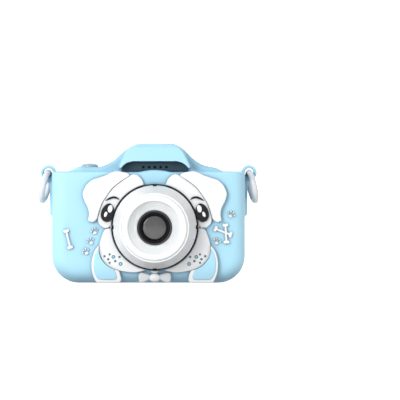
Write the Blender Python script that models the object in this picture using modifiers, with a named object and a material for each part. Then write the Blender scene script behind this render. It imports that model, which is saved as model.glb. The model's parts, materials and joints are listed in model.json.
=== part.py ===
"""Kids' digital camera in a soft puppy case, with side rings that swing and keys that press.

The frame is in metres, +Z up. The lens looks along -Y. The origin is under the middle of the camera,
on the surface that it stands on.
"""
import math

import bmesh
import bpy
from mathutils import Matrix, Vector

MM = 0.001
GAP = 0.0003                # air between pieces that touch
PLAY = 0.0006               # air round a piece that moves

# Overall sizes
CASE_W = 0.094
CASE_H = 0.054              # up to the crisp top edge of the front
CASE_D = 0.031
LENS_REACH = 0.0150         # how far the lens stands before the case front
HUMP_RISE = 0.0137          # hump top above the case top

# Soft case
SKIN = 0.0024               # silicone wall
CORNER_R = 0.013            # lower corners of the front outline
EDGE_R = 0.0068             # rounding of the front and back edges
HUMP_SETBACK = 0.0035       # hump front behind the case front
VISOR_REACH = 0.0032        # visor lip before the case front
LIP = 0.0045                # back lip that holds the housing in
HUMP_FOOT = 0.012           # how far the hump's form reaches down into the block
HUMP_WINDOW_R = 0.0055      # round hole for the selfie lens
HUMP_EYE_RISE = 0.0050      # selfie lens axis above the case top
GRILLE_RISE = 0.0024        # row of grille holes above the case top
GRILLE_STEP = 0.0028
GRILLE_HOLE_R = 0.0005
GRILLE_T = 0.0008

# Hard housing
WALL = 0.0016
SPLIT_BACK = 0.0110         # seam between the housings, before the case back
PAD_SINK = 0.0012           # back pad below the lip's surface
BOSS_R = 0.0026
SCREW_R = 0.0009
SCREW_HEAD_R = 0.0017
SCREW_HEAD_H = 0.0011
SCREW_INSET_X = 0.0120      # screws from the case side
SCREW_INSET_Z = 0.0078      # screws from the case bottom and top

# Lens, turned about its own axis. Its rings are shares of the trim ring's radius.
LENS_X = 0.0032             # the lens stands a little to one side
LENS_RISE = 0.0004          # lens axis above the middle of the case front
LENS_R = 0.02085            # black trim ring
TRIM_RING_SHOW = 0.00055    # width of black that shows round the barrel
TRIM_RING_BASE = 0.0003
BARREL_BASE = 0.0028        # barrel's foot before the case front
BARREL_FLOOR = 0.0056       # back of the barrel's floor before the case front
BARREL_FLOOR_T = 0.0014
BARREL_SEAT = 0.0014        # barrel's foot outside its tube
BARREL_FRONT_SHARE = 0.7866
FACE_IN_SHARE = 0.5995
CONE_IN_SHARE = 0.3957
GLASS_SHARE = 0.2734
FACE_WALL = 0.0008          # barrel outside the face ring
CONE_DEPTH = 0.0036         # cone's inner edge behind the face ring's front
GLASS_DEPTH = 0.0022        # glass behind the cone's inner edge
GLASS_T = 0.0012
TUBE_WALL = 0.0018

# Side rings
RING_R = 0.0070             # centre line
RING_WIRE_R = 0.0015
RING_SIDES = 28
RING_TILT = math.radians(12)
RING_YAW = math.radians(8)
RING_SECTION = 2            # roundness of the wire
LUG_R = 0.0037
LUG_HOLE_R = 0.0024
LUG_T = 0.0046
LUG_OUT = 0.0021            # lug hole outside the case side
LUG_DROP = 0.0005           # lug hole below the case top
LUG_BACK = 0.0155           # lug plane behind the case front
FLANGE_OUT = 0.0013
FLANGE_HALF = 0.0038
FLANGE_LOW = 0.0213         # flange foot below the case top

# Shutter button
BUTTON_X = 0.0321           # button axis from the lens axis
BUTTON_R = 0.00415
BUTTON_TRAVEL = 0.0010
BUTTON_RISE = 0.0042        # button top above the case top
BUTTON_CAP_H = 0.0024
BUTTON_STEM_R = 0.0022
BUTTON_FOOT_R = 0.00325
BUTTON_FOOT_H = 0.0009

# Keys on the back
KEY_R = 0.0023
KEY_OK_R = 0.0030
KEY_REACH = 0.0009
KEY_TRAVEL = 0.0006
PAD_KEYS_X = 0.0205         # direction keys from the case side
PAD_KEYS_LOW = 0.0040       # direction keys below the middle
KEY_ARM = 0.0070            # direction keys from the OK key
MENU_LOW = 0.0155           # menu and power keys below the case top
MENU_HALF = 0.0052
MENU_SHARE = 0.9            # menu and power keys' radius, as a share of the others'
KEY_COLLAR = 0.0007         # collar wider than its cap
KEY_CHAMFER = 0.0006

# Screen
SCREEN_W = 0.046
SCREEN_H = 0.036
SCREEN_SIDE = 0.0140        # screen edge from the case side
SCREEN_T = 0.0012
BEZEL = 0.0022
LCD_INSET = 0.0016          # panel smaller than its window all round
LCD_T = 0.0018
GASKET_T = 0.0005

# Inside
BOARD_T = 0.0016
BATTERY_W = 0.025
BATTERY_T = 0.0060
BATTERY_LOW = 0.0075
BATTERY_AIR = 0.0028        # battery below the shutter switch
SWITCH = (0.003, 0.003, 0.0030)         # half width, half depth and height of the switch
SWITCH_BOARD = (0.006, 0.004, 0.0011)
MODULE_HALF = 0.0060
MODULE_T = 0.0040
FLEX_T = 0.0003
SPEAKER_R = 0.0060
SPEAKER_T = 0.0035
MIC_R = 0.0020

# Port door, on the side
DOOR_W = 0.0076
DOOR_H = 0.0215
DOOR_LOW = 0.0105
DOOR_T = 0.0018
DOOR_BACK = 0.0064          # door's rear edge before the case back
CARD = (0.015, 0.0010, 0.011)
CARD_TRAVEL = 0.0008
CARD_SHOW = 0.0010          # card outside its socket
CARD_RIM = 0.0008
USB_W = 0.0076
USB_T = 0.0028
USB_WALL = 0.0005

# Raised trim
TRIM = 0.0016
TRIM_EAR = 0.0024
TRIM_SMALL = 0.0011

# The trim's outlines are drawn in millimetres from the lens axis, for this lens and these margins.
DRAWN_LENS_R = 20.85
DRAWN_ROOM = (22.95, 5.75, 6.55)        # beside, above and below the lens
DRAWN_TOP = 26.6                        # the case's top edge above the lens axis
DRAWN_RISE = 13.7                       # the hump above the case's top edge

# Places that follow from the sizes
DEPTH = CASE_D + LENS_REACH
FRONT_Y = LENS_REACH - DEPTH / 2
BACK_Y = DEPTH / 2
HUMP_Y = FRONT_Y + HUMP_SETBACK
LENS_Z = CASE_H / 2 + LENS_RISE
SPLIT_Y = BACK_Y - SPLIT_BACK
PAD_Y = BACK_Y - PAD_SINK
INNER_BACK_Y = BACK_Y - SKIN - GAP - WALL
INNER_FRONT_Y = FRONT_Y + SKIN + GAP + WALL
SIDE_X = CASE_W / 2
LUG_X = SIDE_X + LUG_OUT
LUG_Y = FRONT_Y + LUG_BACK
LUG_Z = CASE_H - LUG_DROP
SCREW_X = SIDE_X - SCREW_INSET_X
SCREW_ZS = (SCREW_INSET_Z, CASE_H - SCREW_INSET_Z)
KEYS_X = PAD_KEYS_X - SIDE_X
KEYS_Z = CASE_H / 2 - PAD_KEYS_LOW
MENU_Z = CASE_H - MENU_LOW
SCREEN_X = SIDE_X - SCREEN_SIDE - SCREEN_W / 2
SCREEN_Z = CASE_H / 2
DOOR_Y = BACK_Y - DOOR_BACK - DOOR_W / 2
DOOR_Z = DOOR_LOW + DOOR_H / 2
LCD_Y = INNER_BACK_Y - GAP - GASKET_T - GAP
BOARD_Y = LCD_Y - LCD_T - GAP
BOARD_FRONT_Y = BOARD_Y - BOARD_T - GAP
HUMP_EYE_Z = CASE_H + HUMP_EYE_RISE
GRILLE_Z = CASE_H + GRILLE_RISE
BUTTON_AXIS_X = LENS_X - BUTTON_X
BUTTON_FOOT_Z = CASE_H - SKIN - GAP - WALL - 2 * BUTTON_FOOT_H
SWITCH_Z = BUTTON_FOOT_Z - BUTTON_TRAVEL - PLAY
BARREL_R = LENS_R - TRIM_RING_SHOW
BARREL_FRONT_R = LENS_R * BARREL_FRONT_SHARE
BOSS_TUBE_R = BARREL_R - BARREL_SEAT - GAP
FACE_OUT_R = BARREL_FRONT_R - FACE_WALL
FACE_IN_R = LENS_R * FACE_IN_SHARE
CONE_IN_R = LENS_R * CONE_IN_SHARE
GLASS_R = LENS_R * GLASS_SHARE

FINISHES = {
    "silicone": ((0.36, 0.72, 0.87), 0.55, 0.0),
    "trim_white": ((0.86, 0.87, 0.89), 0.45, 0.0),
    "pearl": ((0.62, 0.62, 0.65), 0.35, 0.2),
    "black": ((0.012, 0.012, 0.014), 0.35, 0.0),
    "shell_blue": ((0.30, 0.62, 0.80), 0.4, 0.0),
    "glass": ((0.10, 0.10, 0.11), 0.05, 0.0),
    "board": ((0.02, 0.16, 0.07), 0.5, 0.0),
    "metal": ((0.55, 0.55, 0.56), 0.35, 1.0),
    "foil": ((0.50, 0.52, 0.56), 0.4, 0.6),
}


# ---------------------------------------------------------------- helpers
def clear_scene():
    for obj in list(bpy.data.objects):
        bpy.data.objects.remove(obj)


def collection(name):
    made = bpy.data.collections.new(name)
    bpy.context.scene.collection.children.link(made)
    return made


def finish_of(name):
    if name not in bpy.data.materials:
        colour, rough, metal = FINISHES[name]
        mat = bpy.data.materials.new(name)
        mat.use_nodes = True
        shader = mat.node_tree.nodes["Principled BSDF"]
        shader.inputs["Base Color"].default_value = (*colour, 1)
        shader.inputs["Roughness"].default_value = rough
        shader.inputs["Metallic"].default_value = metal
        mat.diffuse_color = (*colour, 1)
    return bpy.data.materials[name]


def new_object(name, data):
    obj = bpy.data.objects.new(name, data)
    CUTTERS.objects.link(obj)
    obj.hide_render = True
    obj.display_type = "WIRE"
    return obj


def keep(obj, name, finish, smooth=True):
    """Make a worked shape one of the camera's pieces."""
    obj.name = name
    CUTTERS.objects.unlink(obj)
    CAMERA.objects.link(obj)
    obj.hide_render = False
    obj.display_type = "TEXTURED"
    obj.data.materials.clear()
    obj.data.materials.append(finish_of(finish))
    if smooth:
        obj.data.shade_smooth()
        obj.data.set_sharp_from_angle(angle=math.radians(35))
    return obj


def baked(obj):
    """The plain, welded mesh of a curve or a modified object, with its place in its mesh."""
    bpy.context.view_layer.update()
    seen = obj.evaluated_get(bpy.context.evaluated_depsgraph_get())
    mesh = bpy.data.meshes.new_from_object(seen)
    work = bmesh.new()
    work.from_mesh(mesh)
    work.transform(obj.matrix_world)
    bmesh.ops.remove_doubles(work, verts=work.verts, dist=0.000002)
    work.to_mesh(mesh)
    work.free()
    name = obj.name
    bpy.data.objects.remove(obj)
    return new_object(name, mesh)


def from_bmesh(name, work):
    mesh = bpy.data.meshes.new(name)
    work.to_mesh(mesh)
    work.free()
    return new_object(name, mesh)


def box(low, high, name="box"):
    work = bmesh.new()
    bmesh.ops.create_cube(work, size=1)
    size = Vector(high) - Vector(low)
    middle = (Vector(high) + Vector(low)) / 2
    work.transform(Matrix.Translation(middle) @ Matrix.Diagonal((*size, 1)))
    return from_bmesh(name, work)


def rod(start, end, radius, sides=24, end_radius=None, name="rod"):
    """A round bar from start to end, or a cone where the end has its own radius."""
    start = Vector(start)
    end = Vector(end)
    work = bmesh.new()
    bmesh.ops.create_cone(work, cap_ends=True, segments=sides, radius1=radius,
                          radius2=radius if end_radius is None else end_radius, depth=(end - start).length)
    turn = (end - start).to_track_quat("Z", "Y").to_matrix().to_4x4()
    work.transform(Matrix.Translation((start + end) / 2) @ turn)
    return from_bmesh(name, work)


def plate(points, y_front, y_back, grow=0.0, smooth=True, steps=2, name="plate"):
    """An outline in the X-Z plane, thickened along Y and grown or shrunk all round."""
    area = sum(a[0] * b[1] - b[0] * a[1] for a, b in zip(points, points[1:] + points[:1]))
    ordered = points if area > 0 else points[::-1]
    curve = bpy.data.curves.new(name, "CURVE")
    curve.dimensions = "2D"
    curve.fill_mode = "BOTH"
    curve.extrude = (y_back - y_front) / 2
    curve.offset = grow
    curve.resolution_u = steps if smooth else 1
    curve.render_resolution_u = 0
    spline = curve.splines.new("BEZIER")
    spline.bezier_points.add(len(ordered) - 1)
    spline.use_cyclic_u = True
    for knot, (x, z) in zip(spline.bezier_points, ordered):
        knot.co = (x, z, 0)
        knot.handle_left_type = "AUTO" if smooth else "VECTOR"
        knot.handle_right_type = knot.handle_left_type
    obj = new_object(name, curve)
    obj.rotation_euler.x = math.pi / 2
    obj.location.y = (y_front + y_back) / 2
    return baked(obj)


def turned(profile, name="turned", sides=36):
    """A lens piece: (radius, distance before the case front) pairs, turned about the lens axis."""
    work = bmesh.new()
    knots = [work.verts.new((r, 0, f)) for r, f in profile]
    solid = profile[0][0] == 0
    for first, second in zip(knots, knots[1:] if solid else knots[1:] + knots[:1]):
        work.edges.new((first, second))
    obj = from_bmesh(name, work)
    obj.rotation_euler.x = math.pi / 2
    obj.location = (LENS_X, FRONT_Y, LENS_Z)
    screw = obj.modifiers.new("turn", "SCREW")
    screw.steps = sides
    screw.render_steps = sides
    screw.use_merge_vertices = True
    screw.merge_threshold = 0.000001
    return face_out(baked(obj))


def face_out(obj):
    work = bmesh.new()
    work.from_mesh(obj.data)
    bmesh.ops.recalc_face_normals(work, faces=work.faces)
    work.to_mesh(obj.data)
    work.free()
    return obj


def boolean(target, tools, operation):
    for tool in tools:
        step = target.modifiers.new(tool.name, "BOOLEAN")
        step.operation = operation
        step.solver = "EXACT"
        step.object = tool
    worked = baked(target)
    for tool in tools:
        bpy.data.objects.remove(tool)
    return worked


def cut(target, *tools):
    return boolean(target, tools, "DIFFERENCE")


def joined(target, *tools):
    return boolean(target, tools, "UNION")


def pivot(obj, point):
    """Put a moving piece's origin on its joint."""
    obj.data.transform(Matrix.Translation(-Vector(point)))
    obj.location = point
    return obj


# ---------------------------------------------------------------- outlines
def rounded(x_low, x_high, z_low, z_high, low_r, high_r, steps=6):
    corners = ((x_high - low_r, z_low + low_r, low_r, -90), (x_high - high_r, z_high - high_r, high_r, 0),
               (x_low + high_r, z_high - high_r, high_r, 90), (x_low + low_r, z_low + low_r, low_r, 180))
    points = []
    for x, z, radius, start in corners:
        for step in range(steps + 1):
            angle = math.radians(start + 90 * step / steps)
            points.append((x + radius * math.cos(angle), z + radius * math.sin(angle)))
    return points


def placed(points, side=1):
    """Fit a drawn outline between the lens and the edges of the case front, mirrored where side is -1."""
    beside = (CASE_W / 2 - LENS_X - LENS_R) / DRAWN_ROOM[0]
    above = (CASE_H - LENS_Z - LENS_R) / DRAWN_ROOM[1]
    below = (LENS_Z - LENS_R) / DRAWN_ROOM[2]
    fitted = []
    for u, w in points:
        reach = math.hypot(u, w) or 1.0
        inner = min(reach, DRAWN_LENS_R) / DRAWN_LENS_R * LENS_R
        outer = max(reach - DRAWN_LENS_R, 0)
        x = u / reach * (inner + outer * beside)
        z = w / reach * (inner + outer * (above if w > 0 else below))
        fitted.append((LENS_X + side * x, LENS_Z + z))
    return fitted


HUMP_LINE = ((-43, 26.6), (-40, 28), (-36.3, 29), (-28, 28.9), (-24, 30), (-20, 32.2), (-16, 36),
             (-12, 38.8), (-7.5, 40.2), (7.5, 40.2), (12, 38.9), (16, 35.5), (20, 31.8), (24, 29.6),
             (28, 28.7), (33.5, 26.5))
VISOR_LINE = ((-17.3, 28.8), (-16, 33.6), (-13.4, 36.6), (-10, 38.6), (10, 38.6), (13.4, 36.6),
              (16, 33.6), (17.3, 28.8), (16.4, 28.6), (15, 30), (13, 31.3), (10, 32), (-10, 32),
              (-13, 31.3), (-15, 30), (-16.4, 28.6))
VISOR_EDGE = 31             # where the visor's slope starts
GRILLE_LINE = ((-15.4, 27.1), (-14.2, 29.2), (-12.6, 30.6), (-10, 31.3), (10, 31.3), (12.6, 30.6),
               (14.2, 29.2), (15.4, 27.1))
FACE = ((5.4, 20.2), (5.6, 21.5), (6.6, 23.4), (8.2, 25), (10.2, 25.6), (12.3, 25), (16, 22.5),
        (20, 19.4), (24, 14), (26.5, 9), (27.8, 4), (27.2, 2), (26, 0.5), (24.6, -0.8), (25.2, -3),
        (26.4, -6.5), (27.1, -10), (26, -15.2), (24, -17.8), (21.5, -19.6), (18, -20.9), (14, -21.7),
        (10, -22), (7, -21.6), (4.5, -20.8), (3, -20.2), (4, -18), (14, -8), (15, 0), (12, 10), (5, 18))
EAR = ((12.3, 25), (14, 26.2), (17.5, 26.6), (20, 26.4), (24, 25), (28, 23.6), (32, 21.6), (34.4, 18),
       (34.6, 14), (33, 10.5), (31.9, 6.5), (32.3, 3.2), (30.6, 2.4), (28.4, 3.6), (27.4, 6),
       (25.3, 12), (22, 17), (17, 21.8))
LEG = ((26, -8.5), (27.2, -9), (29.3, -11.8), (30.5, -16), (30.6, -20), (29.9, -23.5), (28.4, -26.3),
       (26.5, -26.9), (19, -26.9), (16.8, -26.3), (16.3, -25), (17.5, -20), (22, -16))
EYE = ((21.3, 11.3), (20, 9.5), (19.7, 7), (20.8, 4.2), (23, 2.5), (25.2, 3.3), (26.2, 6), (25.2, 9),
       (23.3, 10.9))
BROW = ((17.2, 13.3), (18.5, 14.7), (20.2, 14.9), (22.2, 14.2), (23.9, 12.8), (22, 13.2), (20, 13.9),
        (18.5, 13.9))
CHIN = ((1.9, -21.2), (1.4, -22), (0, -22.35), (-1.4, -22), (-1.9, -21.2))
BOW = ((0, -22.9), (2.2, -23.6), (5, -22.4), (7.6, -22.6), (7.9, -24.6), (7.4, -26.8), (5, -26.6),
       (2.2, -25.4), (0, -26.1), (-2.2, -25.4), (-5, -26.6), (-7.4, -26.8), (-7.9, -24.6),
       (-7.6, -22.6), (-5, -22.4), (-2.2, -23.6))
BONE_SINGLE = (-42, -5.9, 9.8, -76)             # middle, length and turn
BONES_CROSSED = ((34.5, -3.2, 9.9, -86), (33.1, -2.3, 9.4, -22))
BONE_SHAFT = 0.5
BONE_KNOB = 0.8
KNOB_STEPS = 7
PAWS = ((-33.4, -12.0, 32), (-31.1, -7.0, 26), (-29.2, -2.0, 20), (37.0, 6.0, -24), (30.2, -7.0, -16))
PAW_R = 1.95
PAW_PAD = 0.78              # the pad's radius, as a share of the print's
PAW_TOE = 0.34


def bone(u, w, length, degrees):
    """A bone about (u, w): a shaft with two knobs at each end."""
    middle = length / 2 - BONE_KNOB
    apart = 0.82 * BONE_KNOB
    shaft_turn = 180 - math.degrees(math.asin((BONE_SHAFT - apart) / BONE_KNOB))
    notch_turn = -math.degrees(math.asin(apart / BONE_KNOB))
    points = []
    for end, start in ((1, 0), (-1, 180)):
        for lobe, first, last in ((-1, 360 - shaft_turn, 360 - notch_turn), (1, notch_turn, shaft_turn)):
            for step in range(KNOB_STEPS):
                angle = math.radians(start + first + (last - first) * step / KNOB_STEPS)
                points.append((end * middle + BONE_KNOB * math.cos(angle),
                               end * lobe * apart + BONE_KNOB * math.sin(angle)))
        points.append((points[-2 * KNOB_STEPS][0], end * BONE_SHAFT))
    turn = math.radians(degrees)
    return [(u + x * math.cos(turn) - z * math.sin(turn), w + x * math.sin(turn) + z * math.cos(turn))
            for x, z in points]


def paw(u, w, degrees):
    """A paw print: a round pad whose upper half swells into four toes."""
    points = []
    for step in range(32):
        angle = 2 * math.pi * step / 32
        toe = abs(math.sin(4 * angle)) if angle < math.pi else 0
        reach = PAW_R * (PAW_PAD + PAW_TOE * toe)
        turn = angle + math.radians(degrees)
        points.append((u + reach * math.cos(turn), w + reach * math.sin(turn)))
    return points


def on_hump(points):
    """Fit outline points drawn for the hump to its real rise."""
    return [(LENS_X + u * MM, CASE_H + (w - DRAWN_TOP) / DRAWN_RISE * HUMP_RISE) for u, w in points]


# ---------------------------------------------------------------- soft case
def blank(inset):
    """The camera's outer form, shrunk all round by inset: rounded block with a crisp top, and the hump."""
    over = CORNER_R + SKIN
    outline = rounded(-SIDE_X, SIDE_X, 0, CASE_H + over, CORNER_R, CORNER_R, 5)
    block = plate(outline, FRONT_Y + inset, BACK_Y - inset, -inset, smooth=False)
    edges = block.modifiers.new("edges", "BEVEL")
    edges.width = EDGE_R - inset
    edges.segments = 3
    edges.use_clamp_overlap = False
    edges.limit_method = "ANGLE"
    edges.angle_limit = math.radians(60)
    block = cut(baked(block), box((-CASE_W, -DEPTH, CASE_H - inset), (CASE_W, DEPTH, CASE_H + 2 * over)))
    line = on_hump(HUMP_LINE)
    ends = [(line[-1][0], CASE_H - HUMP_FOOT), (line[0][0], CASE_H - HUMP_FOOT)]
    hump = plate(line + ends, HUMP_Y + inset, BACK_Y - EDGE_R / 2 - inset, -inset, smooth=False)
    return joined(block, hump)


def visor():
    """The lip over the grille, thicker at its lower edge and sloped back to the hump's top."""
    lip_y = FRONT_Y - VISOR_REACH
    block = plate(on_hump(VISOR_LINE), lip_y, HUMP_Y + SKIN / 2, smooth=False)
    low = on_hump([(0, VISOR_EDGE)])[0][1]
    slope = math.atan2(HUMP_Y - PLAY - lip_y, CASE_H + HUMP_RISE - low)
    wedge = box((-CASE_W, -DEPTH, -HUMP_RISE), (CASE_W, 0, 4 * HUMP_RISE))
    wedge.data.transform(Matrix.Translation((LENS_X, lip_y, low)) @ Matrix.Rotation(-slope, 4, "X"))
    return cut(block, wedge)


def lug(side):
    """The eye that carries a ring, with its web and the flange down the case side."""
    hub = rod((side * LUG_X, LUG_Y - LUG_T / 2, LUG_Z), (side * LUG_X, LUG_Y + LUG_T / 2, LUG_Z), LUG_R, 28)
    inner = side * (SIDE_X - SKIN / 2)
    lean = LUG_R * 0.7
    web = plate([(inner, LUG_Z - 2 * LUG_R), (side * (SIDE_X + FLANGE_OUT * 0.9), LUG_Z - 1.6 * LUG_R),
                 (side * (LUG_X + lean), LUG_Z - lean), (side * (LUG_X - lean), LUG_Z + lean),
                 (inner, LUG_Z + LUG_DROP)],
                LUG_Y - LUG_T / 2 + GAP, LUG_Y + LUG_T / 2 - GAP, smooth=False)
    xs = sorted((inner, side * (SIDE_X + FLANGE_OUT)))
    flange = box((xs[0], LUG_Y - FLANGE_HALF, CASE_H - FLANGE_LOW), (xs[1], LUG_Y + FLANGE_HALF,
                                                                     LUG_Z - LUG_R))
    return joined(hub, web, flange)


def lug_hole(side):
    return rod((side * LUG_X, LUG_Y - LUG_T, LUG_Z), (side * LUG_X, LUG_Y + LUG_T, LUG_Z), LUG_HOLE_R, 28)


def lip_outline(shrink=0.0):
    margin = LIP + shrink
    return rounded(-SIDE_X + margin, SIDE_X - margin, margin, CASE_H - margin, CORNER_R - LIP, CORNER_R / 4)


def door_opening(grow):
    return box((SIDE_X - 5 * SKIN, DOOR_Y - DOOR_W / 2 - grow, DOOR_LOW - grow),
               (SIDE_X + SKIN, DOOR_Y + DOOR_W / 2 + grow, DOOR_LOW + DOOR_H + grow))


def button_hole(radius):
    return rod((BUTTON_AXIS_X, LUG_Y, CASE_H - 2.5 * SKIN), (BUTTON_AXIS_X, LUG_Y, CASE_H + HUMP_RISE),
               radius, 32)


def grille_holes(radius, y_start, y_end):
    xs = [LENS_X + GRILLE_STEP * k for k in (-2, -1, 0, 1, 2)]
    return [rod((x, y_start, GRILLE_Z), (x, y_end, GRILLE_Z), radius, 10) for x in xs]


def make_case():
    case = joined(blank(0), visor(), lug(-1), lug(1))
    case = cut(case, blank(SKIN))
    eye_hole = rod((LENS_X, INNER_BACK_Y - EDGE_R, HUMP_EYE_Z), (LENS_X, 2 * BACK_Y, HUMP_EYE_Z),
                   HUMP_WINDOW_R, 32)
    lens_hole = rod((LENS_X, FRONT_Y + 2 * SKIN, LENS_Z), (LENS_X, -DEPTH, LENS_Z), BOSS_TUBE_R + GAP, 36)
    case = cut(case, plate(lip_outline(), INNER_BACK_Y, 2 * BACK_Y, smooth=False), eye_hole, lens_hole,
               button_hole(BUTTON_R + GAP), door_opening(GAP), lug_hole(-1), lug_hole(1),
               *grille_holes(GRILLE_HOLE_R, HUMP_Y - SKIN, HUMP_Y + 2 * SKIN))
    keep(case, "silicone_case", "silicone")


def make_grille():
    front = HUMP_Y - GAP - GRILLE_T
    grille = plate(on_hump(GRILLE_LINE), front, HUMP_Y - GAP, smooth=False)
    grille = cut(grille, *grille_holes(GRILLE_HOLE_R, front - SKIN, HUMP_Y + SKIN))
    keep(grille, "speaker_grille", "black")


# ---------------------------------------------------------------- housing
def half_space(y_low, y_high):
    return box((-CASE_W, y_low, -SKIN), (CASE_W, y_high, CASE_H + 2 * HUMP_RISE))


def screw_places():
    return [(side * SCREW_X, z) for z in SCREW_ZS for side in (-1, 1)]


def make_front_housing():
    wall_y = INNER_FRONT_Y - WALL / 2
    hollow = blank(SKIN + GAP + WALL)
    shell = cut(blank(SKIN + GAP), half_space(SPLIT_Y - GAP / 2, 2 * BACK_Y))
    tube = rod((LENS_X, wall_y, LENS_Z), (LENS_X, FRONT_Y - BARREL_FLOOR + PLAY, LENS_Z), BOSS_TUBE_R, 36)
    bosses = [rod((x, wall_y, z), (x, SPLIT_Y - GAP / 2, z), BOSS_R, 16) for x, z in screw_places()]
    shell = joined(cut(shell, hollow), tube, *bosses)
    bore = rod((LENS_X, INNER_FRONT_Y + SKIN, LENS_Z), (LENS_X, -DEPTH, LENS_Z), BOSS_TUBE_R - TUBE_WALL, 36)
    pilots = [rod((x, INNER_FRONT_Y + 2 * BOSS_R, z), (x, SPLIT_Y + SKIN, z), SCREW_R + GAP, 12)
              for x, z in screw_places()]
    shell = cut(shell, bore, *pilots, button_hole(BUTTON_STEM_R + GAP), door_opening(GAP),
                *grille_holes(GRILLE_HOLE_R, HUMP_Y, HUMP_Y + 4 * SKIN))
    keep(shell, "front_housing", "shell_blue")


def key_layout():
    """Each key's name, place and cap radius."""
    keys = [("key_ok", KEYS_X, KEYS_Z, KEY_OK_R)]
    for name, right, up in (("key_up", 0, 1), ("key_down", 0, -1), ("key_left", 1, 0), ("key_right", -1, 0)):
        keys.append((name, KEYS_X + right * KEY_ARM, KEYS_Z + up * KEY_ARM, KEY_R))
    for name, side in (("key_menu", 1), ("key_power", -1)):
        keys.append((name, KEYS_X + side * MENU_HALF, MENU_Z, KEY_R * MENU_SHARE))
    return keys


def screen_outline(shrink):
    return rounded(SCREEN_X - SCREEN_W / 2 + shrink, SCREEN_X + SCREEN_W / 2 - shrink,
                   SCREEN_Z - SCREEN_H / 2 + shrink, SCREEN_Z + SCREEN_H / 2 - shrink, 0.0015, 0.0015, 3)


def make_rear_housing():
    hollow = blank(SKIN + GAP + WALL)
    shell = cut(blank(SKIN + GAP), half_space(-DEPTH, SPLIT_Y + GAP / 2))
    shell = cut(shell, hollow)
    wall_y = INNER_BACK_Y + WALL / 2
    pad = plate(lip_outline(GAP), wall_y, PAD_Y, smooth=False)
    bosses = [rod((x, SPLIT_Y + GAP / 2, z), (x, wall_y, z), BOSS_R, 16) for x, z in screw_places()]
    shell = joined(shell, pad, *bosses)
    eye_r = HUMP_WINDOW_R - 5 * GAP
    holes = [plate(screen_outline(0), PAD_Y - SCREEN_T - GAP, BACK_Y, smooth=False),
             plate(screen_outline(BEZEL), SPLIT_Y, BACK_Y, smooth=False), door_opening(GAP),
             rod((LENS_X, SPLIT_Y, HUMP_EYE_Z), (LENS_X, BACK_Y, HUMP_EYE_Z), eye_r, 24)]
    for x, z in screw_places():
        holes.append(rod((x, SPLIT_Y - BOSS_R, z), (x, BACK_Y, z), SCREW_R + GAP, 12))
        holes.append(rod((x, PAD_Y - SCREW_HEAD_H - 2 * GAP, z), (x, BACK_Y, z), SCREW_HEAD_R + GAP, 16))
    for name, x, z, radius in key_layout():
        holes.append(rod((x, SPLIT_Y, z), (x, BACK_Y, z), radius + GAP, 14))
    keep(cut(shell, *holes), "rear_housing", "shell_blue")


def make_screws():
    head_y = PAD_Y - GAP
    arm = SCREW_HEAD_R * 0.65
    blade = SCREW_HEAD_R * 0.15
    deep = head_y - SCREW_HEAD_H / 2
    tip_y = INNER_FRONT_Y + 2.5 * BOSS_R
    for number, (x, z) in enumerate(screw_places(), 1):
        head = rod((x, head_y, z), (x, head_y - SCREW_HEAD_H, z), SCREW_HEAD_R, 16)
        shank = rod((x, deep, z), (x, tip_y, z), SCREW_R, 12)
        slots = [box((x - arm, deep, z - blade), (x + arm, BACK_Y, z + blade)),
                 box((x - blade, deep, z - arm), (x + blade, BACK_Y, z + arm))]
        keep(cut(joined(head, shank), *slots), f"screw_{number}", "metal")


# ---------------------------------------------------------------- lens
def make_lens():
    seat = BARREL_R - BARREL_SEAT
    front = LENS_REACH
    floor = BARREL_FLOOR + BARREL_FLOOR_T
    ring_top = BARREL_BASE - GAP
    eye_r = GLASS_R + TUBE_WALL + GAP
    keep(turned([(LENS_R, ring_top), (LENS_R, TRIM_RING_BASE), (seat, TRIM_RING_BASE), (seat, ring_top)]),
         "lens_trim_ring", "black")
    keep(turned([(BARREL_FRONT_R + GAP, front - 0.0010), (BARREL_R, BARREL_BASE), (seat, BARREL_BASE),
                 (seat, BARREL_FLOOR), (eye_r, BARREL_FLOOR), (eye_r, floor), (FACE_OUT_R + GAP, floor),
                 (FACE_OUT_R + GAP, front - 0.0010)]), "lens_barrel", "trim_white")
    floor += GAP
    keep(turned([(FACE_OUT_R, front - 0.0006), (FACE_OUT_R, floor), (FACE_IN_R + GAP, floor),
                 (FACE_IN_R + GAP, front - 0.0012), (FACE_IN_R + 0.0011, front), (FACE_OUT_R - 0.0012,
                                                                                  front)]),
         "lens_face_ring", "trim_white")
    shelf = front - CONE_DEPTH
    keep(turned([(FACE_IN_R, front - 0.0014), (FACE_IN_R, shelf - 0.0025), (CONE_IN_R + GAP, shelf - 0.0025),
                 (CONE_IN_R + GAP, shelf)]), "lens_cone", "pearl")
    keep(turned([(CONE_IN_R, shelf + 0.0002), (CONE_IN_R, floor), (GLASS_R + GAP, floor),
                 (GLASS_R + GAP, shelf - 0.0016)]), "lens_black_ring", "black")
    glass = shelf - GLASS_DEPTH
    keep(turned([(0, glass + 0.0005), (GLASS_R * 0.6, glass + 0.0003), (GLASS_R, glass), (GLASS_R,
                                                                                          glass - GLASS_T),
                 (0, glass - GLASS_T)], sides=32), "lens_glass", "glass")


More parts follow.
